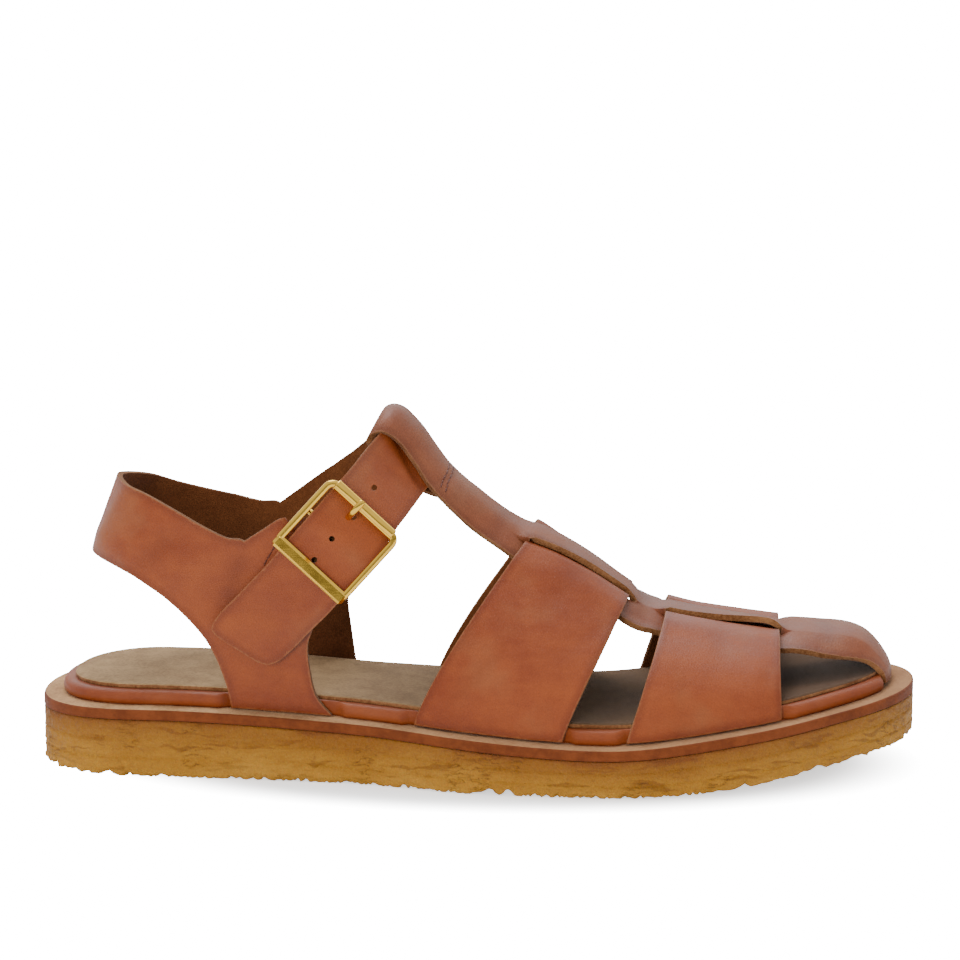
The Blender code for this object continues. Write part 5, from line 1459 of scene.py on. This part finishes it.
    @staticmethod
    def bitten(place: np.ndarray) -> float:
        """How far the lower edge of the crepe is crumbled away, in millimetres."""
        coarse = max(noise.noise(Vector((place[0] * 0.32, place[1] * 0.32, 9.0))), 0.0)
        fine = max(noise.noise(Vector((place[0] * 0.95, place[1] * 0.95, 4.0))), 0.0)
        return min(2.6 * coarse + 1.5 * fine, 2.2)

    def store_level(self, made: bpy.types.Object) -> None:
        """Store how high each point of the crepe lies, from the walking face to the runner."""
        level = made.data.attributes.new("level_share", "FLOAT", "POINT")
        places = np.zeros(len(made.data.vertices) * 3)
        made.data.vertices.foreach_get("co", places)
        places = places.reshape(-1, 3) / MM
        low = self.last.ground(places[:, 0])
        high = self.last.rim(places[:, 0]) - self.runner_thick
        level.data.foreach_set("value", np.clip((places[:, 2] - low) / (high - low), 0.0, 1.0))

    def runner(self) -> None:
        """Leather runner with a pale face and a stained edge."""
        profile = [(across, 1.0, -0.55) for across in (0.0, 0.5, 0.8, 0.9, 1.0)]
        profile += [(1.0, 0.97, -0.3), (1.0, 0.9, -0.1)]
        profile += [(1.0, level, -0.02) for level in (0.75, 0.6, 0.45, 0.3, 0.15)]
        profile += [(1.0, 0.0, -0.06), (0.5, 0.0, -0.6), (0.0, 0.0, -0.6)]
        xs = self.stations(0.0, 30, 40, 130)
        net = self.plate_net(0.0, profile, lambda x: self.last.rim(x) - self.runner_thick, self.last.rim, xs)
        out = self.side_directions(net)
        for row in range(net.shape[0]):
            fade = min(row, net.shape[0] - 1 - row, 2) / 2.0
            for column in list(range(5, 12)) + list(range(net.shape[1] - 12, net.shape[1] - 5)):
                place = net[row, column]
                wave = noise.noise(Vector((place[0] * 0.16, place[1] * 0.16, place[2] * 0.4)))
                rough = noise.noise(Vector((place[0] * 0.8, place[1] * 0.8, place[2] * 1.5)))
                net[row, column, :2] += out[row, column] * (0.12 * wave + 0.07 * rough - 0.1) * fade
        self.plate("runner", net, [self.finishes.rim, self.finishes.stain], "midsole",
                   lambda column, columns: 0 if column < 4 else 1)

    def press_feet(self, net: np.ndarray, depth: float) -> np.ndarray:
        """Pull the side of the footbed in where the straps go down."""
        sides = np.where(net[:, :, 1] >= self.last.middle(net[:, :, 0]), 1.0, -1.0)
        pull = np.zeros(net.shape[:2])
        for start, end in self.feet:
            behind = ease(net[:, :, 0], start - 1.2, start + 0.6)
            ahead = ease(net[:, :, 0], end - 0.6, end + 1.2)
            pull = np.maximum(pull, behind * (1.0 - ahead))
        edge = np.where(sides > 0.0, self.last.outline(net[:, :, 0], 1.0, self.footbed_inset + depth),
                        self.last.outline(net[:, :, 0], -1.0, self.footbed_inset + depth))
        beyond = np.maximum((net[:, :, 1] - edge) * sides, 0.0)
        net[:, :, 1] -= sides * beyond * pull
        toe = 123.4 + ease(np.abs(net[:, :, 1] - 9.2), 13.5, 18.0) * 8.0
        net[:, :, 0] = np.minimum(net[:, :, 0], toe)
        return net

    def footbed(self) -> None:
        """Wrapped footbed and its sock."""
        profile = [(0.0, 1.0, -2.2), (0.45, 1.0, -2.2), (0.8, 1.0, -2.2), (0.92, 1.0, -2.2), (1.0, 1.0, -2.0)]
        for step in range(1, 9):
            turn = math.radians(90.0 - 90.0 * step / 8.0)
            profile.append((1.0, 0.42 + 0.58 * math.sin(turn), -1.8 + 1.8 * math.cos(turn)))
        profile += [(1.0, 0.2, -0.1), (1.0, 0.0, -0.5), (0.5, 0.0, -0.5), (0.0, 0.0, -0.5)]
        xs = self.stations(self.footbed_inset, 26, 34, 120)
        net = self.plate_net(self.footbed_inset, profile, lambda x: self.last.rim(x) + self.gap * 0.4,
                             lambda x: self.last.rim(x) + self.footbed_thick + self.gap, xs)
        net = self.press_feet(net, 2.3)
        self.plate("wrapped_footbed", net, [self.finishes.wrap], "footbed")
        low = self.footbed_thick + 2.0 * self.gap
        profile = [(0.0, 1.0, -0.25), (0.45, 1.0, -0.25), (0.8, 1.0, -0.25), (0.95, 1.0, -0.25), (1.0, 1.0, -0.25),
                   (1.0, 0.85, -0.06), (1.0, 0.5, 0.0), (1.0, 0.15, 0.0), (1.0, 0.0, -0.1), (0.5, 0.0, 0.0), (0.0, 0.0, 0.0)]
        xs = self.stations(self.sock_inset, 24, 30, 120)
        net = self.plate_net(self.sock_inset, profile, lambda x: self.last.rim(x) + low - 0.25,
                             lambda x: self.last.rim(x) + low + self.sock_thick, xs)
        self.plate("sock", net, [self.finishes.sock, self.finishes.cut], "sock",
                   lambda column, columns: 0 if column < 5 else 1)

    def build(self) -> None:
        """Make the four layers of the sole."""
        self.crepe()
        self.runner()
        self.footbed()


# ---- buckle


@dataclass
class Buckle:
    """Frame with a broad rest bar, a roller on its upper bar, and the prong."""

    seat: BuckleSeat
    finishes: Finishes
    along: float = 27.0
    across: float = 28.0
    shift: float = -0.75
    turn: float = 1.5
    bar_wide: float = 2.3
    bar_thick: float = 2.0
    corner: float = 2.5
    rest_height: float = 4.7
    roller_height: float = 4.3
    roller_radius: float = 1.75
    roller_bore: float = 1.25
    bar_depth: float = -1.2
    prong_side: float = -2.0
    # station along the strap, height, half width
    prong_rows: tuple = (
        (0.9, 0.5, 0.85), (2.6, 0.75, 0.85), (4.6, 1.4, 0.85), (6.3, 2.7, 0.9), (7.3, 4.6, 0.95), (8.6, 6.3, 0.97),
        (9.9, 7.1, 1.0), (11.3, 7.35, 1.0), (12.7, 7.3, 0.95), (13.3, 7.15, 0.6),
    )

    def to_place(self, shape: bmesh.types.BMesh) -> None:
        """Move a shape worked in buckle sizes to its place on the ankle."""
        cosine, sine = math.cos(math.radians(self.turn)), math.sin(math.radians(self.turn))
        for vertex in shape.verts:
            x, y, z = vertex.co
            place = self.seat.point(x * cosine - y * sine, x * sine + y * cosine, z)
            vertex.co = Vector((place[0], place[1] + SIDE_SHIFT, place[2])) * MM
        along, across, outward = self.seat.axes()
        if along.cross(across).dot(outward) < 0.0:
            # the axes of the seat are left-handed and mirror the shape, so its faces are turned back
            bmesh.ops.reverse_faces(shape, faces=shape.faces[:])

    @staticmethod
    def tube(shape: bmesh.types.BMesh, path: np.ndarray, widths: np.ndarray, flat: float, square: float,
             closed: bool, sides: int = 20) -> None:
        """Add a bar along a path, with a section between round and square.

        Args:
            shape: The shape that takes the bar.
            path: Middle line in buckle sizes.
            widths: Half width at each point.
            flat: Share of the width that the bar is thick.
            square: Fullness of the section; two is round.
            closed: Whether the path closes on itself.
            sides: Faces round the bar.
        """
        count = len(path)
        part = bmesh.new()
        bmesh.ops.create_grid(part, x_segments=count - 1, y_segments=sides, size=1.0)
        for vertex in part.verts:
            row = int(round((vertex.co.x + 1.0) * 0.5 * (count - 1)))
            turn = math.pi * (vertex.co.y + 1.0)
            before = path[row - 1] if row > 0 else (path[count - 2] if closed else path[0])
            after = path[row + 1] if row < count - 1 else (path[1] if closed else path[-1])
            ahead = Vector(after - before).normalized()
            side = Vector((0.0, 0.0, 1.0)).cross(ahead)
            side = Vector((0.0, 1.0, 0.0)) if side.length < 0.2 else side.normalized()
            up = ahead.cross(side).normalized()
            cosine, sine = math.cos(turn), math.sin(turn)
            x = math.copysign(abs(cosine) ** (2.0 / square), cosine)
            y = math.copysign(abs(sine) ** (2.0 / square), sine)
            vertex.co = Vector(path[row]) + side * (x * widths[row]) + up * (y * widths[row] * flat)
        bmesh.ops.remove_doubles(part, verts=part.verts[:], dist=0.001)
        if not closed:
            bmesh.ops.holes_fill(part, edges=[edge for edge in part.edges if edge.is_boundary], sides=0)
        bmesh.ops.recalc_face_normals(part, faces=part.faces[:])
        if part.calc_volume(signed=True) < 0.0:
            bmesh.ops.reverse_faces(part, faces=part.faces[:])
        mesh = bpy.data.meshes.new("bar")
        part.to_mesh(mesh)
        part.free()
        shape.from_mesh(mesh)
        bpy.data.meshes.remove(mesh)

    def frame_path(self) -> np.ndarray:
        """Middle line of the frame with rounded corners."""
        half_long = self.along / 2.0 - self.bar_wide / 2.0
        half_wide = self.across / 2.0 - self.bar_wide / 2.0
        points = []
        for number in range(4):
            sign_long = 1.0 if number in (0, 3) else -1.0
            sign_wide = 1.0 if number in (0, 1) else -1.0
            for step in range(7):
                turn = math.radians(90.0 * number + 15.0 * step)
                x = sign_long * (half_long - self.corner) + self.corner * math.cos(turn)
                y = sign_wide * (half_wide - self.corner) + self.corner * math.sin(turn)
                height = self.rest_height + (self.roller_height - self.rest_height) * (x + half_long) / (2.0 * half_long)
                points.append((x + self.shift, y, height))
        points.append(points[0])
        return np.array(points)

    def frame(self) -> None:
        """Frame, rest bar, lugs and centre bar."""
        shape = bmesh.new()
        path = self.frame_path()
        self.tube(shape, path, np.full(len(path), self.bar_wide / 2.0), self.bar_thick / self.bar_wide, 2.6, True)
        part = bmesh.new()
        bmesh.ops.create_cube(part, size=1.0)
        for vertex in part.verts:
            bow = 0.5 * (1.0 - (2.0 * vertex.co.y) ** 2)
            station = -self.along / 2.0 + self.shift + 1.95 - bow + vertex.co.x * 3.9
            vertex.co = Vector((station, vertex.co.y * (self.across - 0.6), self.rest_height + 0.1 + vertex.co.z * 2.2))
        bmesh.ops.bevel(part, geom=part.edges[:], offset=0.8, segments=1, affect="EDGES", profile=0.5, material=-1)
        first = len(shape.faces)
        bar = bpy.data.meshes.new("rest_bar")
        part.to_mesh(bar)
        part.free()
        shape.from_mesh(bar)
        final = len(shape.faces)
        half_wide = self.across / 2.0 - self.bar_wide / 2.0
        line = np.array([(0.0, place, self.bar_depth) for place in np.linspace(-half_wide, half_wide, 9)])
        self.tube(shape, line, np.full(9, 0.9), 1.0, 2.0, False)
        for side in (-1.0, 1.0):
            high = 0.5 * (self.rest_height + self.roller_height)
            line = np.array([(0.0, side * half_wide, z) for z in np.linspace(self.bar_depth - 0.9, high, 7)])
            self.tube(shape, line, np.full(7, 0.9), 1.0, 2.4, False)
        self.to_place(shape)
        made = make_object("gold_frame", shape, [self.finishes.gold], ["buckle_frame"])
        for number in range(first, final):
            made.data.polygons[number].use_smooth = False

    def roller(self) -> None:
        """Loose tube with its rolled seam."""
        half = self.across / 2.0 - self.bar_wide - 0.45
        outer, inner = self.roller_radius, self.roller_bore
        profile = [
            (inner, -half), (outer - 0.3, -half), (outer - 0.08, -half + 0.09), (outer, -half + 0.35),
            (outer, -half * 0.5), (outer, 0.0), (outer, half * 0.5), (outer, half - 0.35),
            (outer - 0.08, half - 0.09), (outer - 0.3, half), (inner, half),
        ]
        profile.append(profile[0])
        centre = self.along / 2.0 - self.bar_wide / 2.0 + self.shift
        sides = 72
        shape = bmesh.new()
        bmesh.ops.create_grid(shape, x_segments=len(profile) - 1, y_segments=sides, size=1.0)
        for vertex in shape.verts:
            row = int(round((vertex.co.x + 1.0) * 0.5 * (len(profile) - 1)))
            turn = math.pi * (vertex.co.y + 1.0)
            radius, place = profile[row]
            seam = math.exp(-((math.degrees(turn) - 125.0) / 4.0) ** 2) if radius > inner + 0.1 else 0.0
            radius -= 0.22 * seam
            vertex.co = Vector((centre + radius * math.cos(turn), place, self.roller_height + radius * math.sin(turn)))
        bmesh.ops.remove_doubles(shape, verts=shape.verts[:], dist=0.001)
        bmesh.ops.recalc_face_normals(shape, faces=shape.faces[:])
        self.to_place(shape)
        make_object("gold_roller", shape, [self.finishes.gold], ["buckle_roller"])

    def prong(self) -> None:
        """Prong with its ring round the centre bar."""
        rows = refine(self.prong_rows, 4)
        path = np.stack([rows[:, 0], np.full(len(rows), self.prong_side), rows[:, 1]], axis=1)
        shape = bmesh.new()
        self.tube(shape, path, rows[:, 2], 0.8, 2.5, False)
        self.ring(shape)
        self.to_place(shape)
        make_object("gold_prong", shape, [self.finishes.gold], ["buckle_prong"])

    def ring(self, shape: bmesh.types.BMesh) -> None:
        """Add the flat ring of the prong."""
        profile = ((1.2, -0.95), (1.9, -0.95), (2.0, -0.8), (2.0, 0.8), (1.9, 0.95), (1.2, 0.95), (1.2, -0.95))
        part = bmesh.new()
        bmesh.ops.create_grid(part, x_segments=len(profile) - 1, y_segments=32, size=1.0)
        for vertex in part.verts:
            row = int(round((vertex.co.x + 1.0) * 0.5 * (len(profile) - 1)))
            turn = math.pi * (vertex.co.y + 1.0)
            radius, place = profile[row]
            vertex.co = Vector((radius * math.cos(turn), self.prong_side + place, self.bar_depth + radius * math.sin(turn)))
        bmesh.ops.remove_doubles(part, verts=part.verts[:], dist=0.001)
        bmesh.ops.recalc_face_normals(part, faces=part.faces[:])
        mesh = bpy.data.meshes.new("ring")
        part.to_mesh(mesh)
        part.free()
        shape.from_mesh(mesh)
        bpy.data.meshes.remove(mesh)

    def build(self) -> None:
        """Make the three metal pieces."""
        self.frame()
        self.roller()
        self.prong()


# ---- stitches


@dataclass
class Stitches:
    """Raised stitches that hold the loop and the chape."""

    finishes: Finishes
    surface: float = 0.9
    radius: float = 0.30
    rise: float = 0.22
    # first row, first column, last row, last column, stitches
    loop_bars: tuple = ((126.2, 18.0, 123.2, 3.4, 6), (124.6, 18.0, 121.6, 3.4, 6))
    chape_bars: tuple = ((0.2, 7.0, 7.0, 4.6, 3),)

    def bar(self, shape: bmesh.types.BMesh, sheet: Sheet, run: Sequence[float]) -> None:
        """Add a row of stitches to a shape.

        Args:
            shape: The shape that takes the threads.
            sheet: The leather that the row lies on.
            run: Row and column of both ends on the sheet, and how many stitches.
        """
        normal = sheet.normals(sheet.points)
        first = np.array(run[:2])
        way = (np.array(run[2:4]) - first) / run[4]
        for number in range(int(run[4])):
            path = []
            for share in np.linspace(0.06, 0.94, 9):
                row, column = first + way * (number + share)
                low_row, low_column = int(row), int(column)
                far_row, far_column = row - low_row, column - low_column
                place, out = np.zeros(3), np.zeros(3)
                for step_row, step_column in ((0, 0), (1, 0), (0, 1), (1, 1)):
                    part = (far_row if step_row else 1.0 - far_row) * (far_column if step_column else 1.0 - far_column)
                    place += part * sheet.points[low_row + step_row, low_column + step_column]
                    out += part * normal[low_row + step_row, low_column + step_column]
                out /= np.linalg.norm(out)
                bow = math.sin(math.pi * (share - 0.06) / 0.88)
                path.append(place + out * (self.surface - 0.25 + self.rise * math.sqrt(bow + 0.02)) + (0.0, SIDE_SHIFT, 0.0))
            Buckle.tube(shape, np.array(path), np.full(9, self.radius), 0.9, 2.0, False, 10)

    def build(self, loop: Sheet, chape: Sheet) -> None:
        """Make the stitches of both places."""
        shape = bmesh.new()
        for run in self.loop_bars:
            self.bar(shape, loop, run)
        for run in self.chape_bars:
            self.bar(shape, chape, run)
        bmesh.ops.scale(shape, vec=(MM, MM, MM), verts=shape.verts[:])
        make_object("stitches", shape, [self.finishes.thread])


# ---- studio


@dataclass
class Studio:
    """Pale floor, soft light and the camera at the photo's angle."""

    finishes: Finishes
    camera_place: tuple = (0.07897, -0.85485, 0.23142)
    camera_target: tuple = (0.0011, -0.00204, 0.08615)
    lens: float = 106.85
    horizon: Colour = (0.22, 0.22, 0.23)
    zenith: Colour = (0.95, 0.95, 0.95)
    behind: Colour = (0.5, 0.5, 0.5)
    above: Colour = (2.3, 2.3, 2.3)
    # place, spread in degrees, power
    top_light: tuple = ((-0.25, 0.42, 1.5), 34.0, 2.05)
    front_light: tuple = ((-0.45, -1.6, 0.42), 26.0, 2.4)
    lamp_target: tuple = (0.0, 0.0, 0.04)
    backdrop: Colour = (20.0, 20.0, 20.0)

    def aimed(self, item: bpy.types.Object, target: Sequence[float]) -> None:
        """Turn a camera or a light to a target."""
        ahead = Vector(target) - item.location
        item.rotation_euler = ahead.to_track_quat("-Z", "Y").to_euler()

    def lamp(self, name: str, place: Sequence[float], spread: float, power: float, glossy: bool = True) -> None:
        """Add a broad distant light aimed at the sandal, with its spread in degrees."""
        light = bpy.data.lights.new(name, "SUN")
        light.angle = math.radians(spread)
        light.energy = power
        item = bpy.data.objects.new(name, light)
        item.visible_glossy = glossy
        item.location = place
        bpy.context.scene.collection.objects.link(item)
        self.aimed(item, self.lamp_target)

    def build(self) -> None:
        """Make the floor, the lights, the surroundings and the camera."""
        shape = bmesh.new()
        bmesh.ops.create_grid(shape, x_segments=4, y_segments=4, size=80.0)
        mesh = bpy.data.meshes.new("studio_floor")
        shape.to_mesh(mesh)
        shape.free()
        floor = bpy.data.objects.new("studio_floor", mesh)
        bpy.context.scene.collection.objects.link(floor)
        mesh.materials.append(self.finishes.paper)
        self.lamp("top_light", *self.top_light)
        self.lamp("front_light", *self.front_light, glossy=False)
        world = bpy.data.worlds.new("studio_world")
        bpy.context.scene.world = world
        world.use_nodes = True
        board = Board(world.node_tree)
        way = board.put("ShaderNodeTexCoord").outputs["Generated"]
        parts = board.put("ShaderNodeSeparateXYZ", {0: way})
        sky = board.blend(board.range(parts.outputs[2], 0.0, 0.55), shade(self.horizon), shade(self.zenith))
        wall = board.blend(board.range(parts.outputs[2], 0.02, 0.5), shade(self.behind), shade(self.above))
        sky = board.blend(board.range(parts.outputs[1], 0.3, 0.85), sky, wall)
        seen = board.put("ShaderNodeLightPath").outputs["Is Camera Ray"]
        glow = board.put("ShaderNodeBackground", {"Color": board.blend(seen, sky, shade(self.backdrop)), "Strength": 1.0})
        board.put("ShaderNodeOutputWorld", {"Surface": glow.outputs[0]})
        data = bpy.data.cameras.new("photo_camera")
        data.lens = self.lens
        data.sensor_width = 36.0
        data.clip_start = 0.01
        data.clip_end = 50.0
        camera = bpy.data.objects.new("photo_camera", data)
        bpy.context.scene.collection.objects.link(camera)
        camera.location = self.camera_place
        self.aimed(camera, self.camera_target)
        bpy.context.scene.camera = camera


def clear_start_objects() -> None:
    """Remove what a new file holds besides the frame."""
    kept = set(frame["nodes"].values()) | set(frame["bodies"].values())
    for item in list(bpy.data.objects):
        if item not in kept:
            bpy.data.objects.remove(item, do_unlink=True)


def dress_frame(finishes: Finishes) -> None:
    """Give the solids of the frame their materials."""
    looks = {
        "outsole": finishes.crepe, "midsole": finishes.rim, "footbed": finishes.wrap, "sock": finishes.sock,
        "upper": finishes.hide, "buckle_frame": finishes.gold, "buckle_roller": finishes.gold, "buckle_prong": finishes.gold,
    }
    for name, look in looks.items():
        item = frame["nodes"][name]
        item.data.materials.clear()
        item.data.materials.append(look)


def main() -> None:
    """Build the looks of the sandal around its frame."""
    logging.basicConfig(level=logging.INFO, format="%(message)s")
    clear_start_objects()
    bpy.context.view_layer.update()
    finishes = Finishes()
    dress_frame(finishes)
    last = Last(LastSizes())
    seat = BuckleSeat()
    Sole(last, finishes).build()
    quarter = Quarter(last, finishes, seat)
    quarter.build()
    straps = FrontStraps(last, finishes)
    straps.build()
    Stitches(finishes).build(straps.centre_sheet(), quarter.sheets()[1])
    Buckle(seat, finishes).build()
    Studio(finishes).build()


if __name__ == "__main__":
    main()
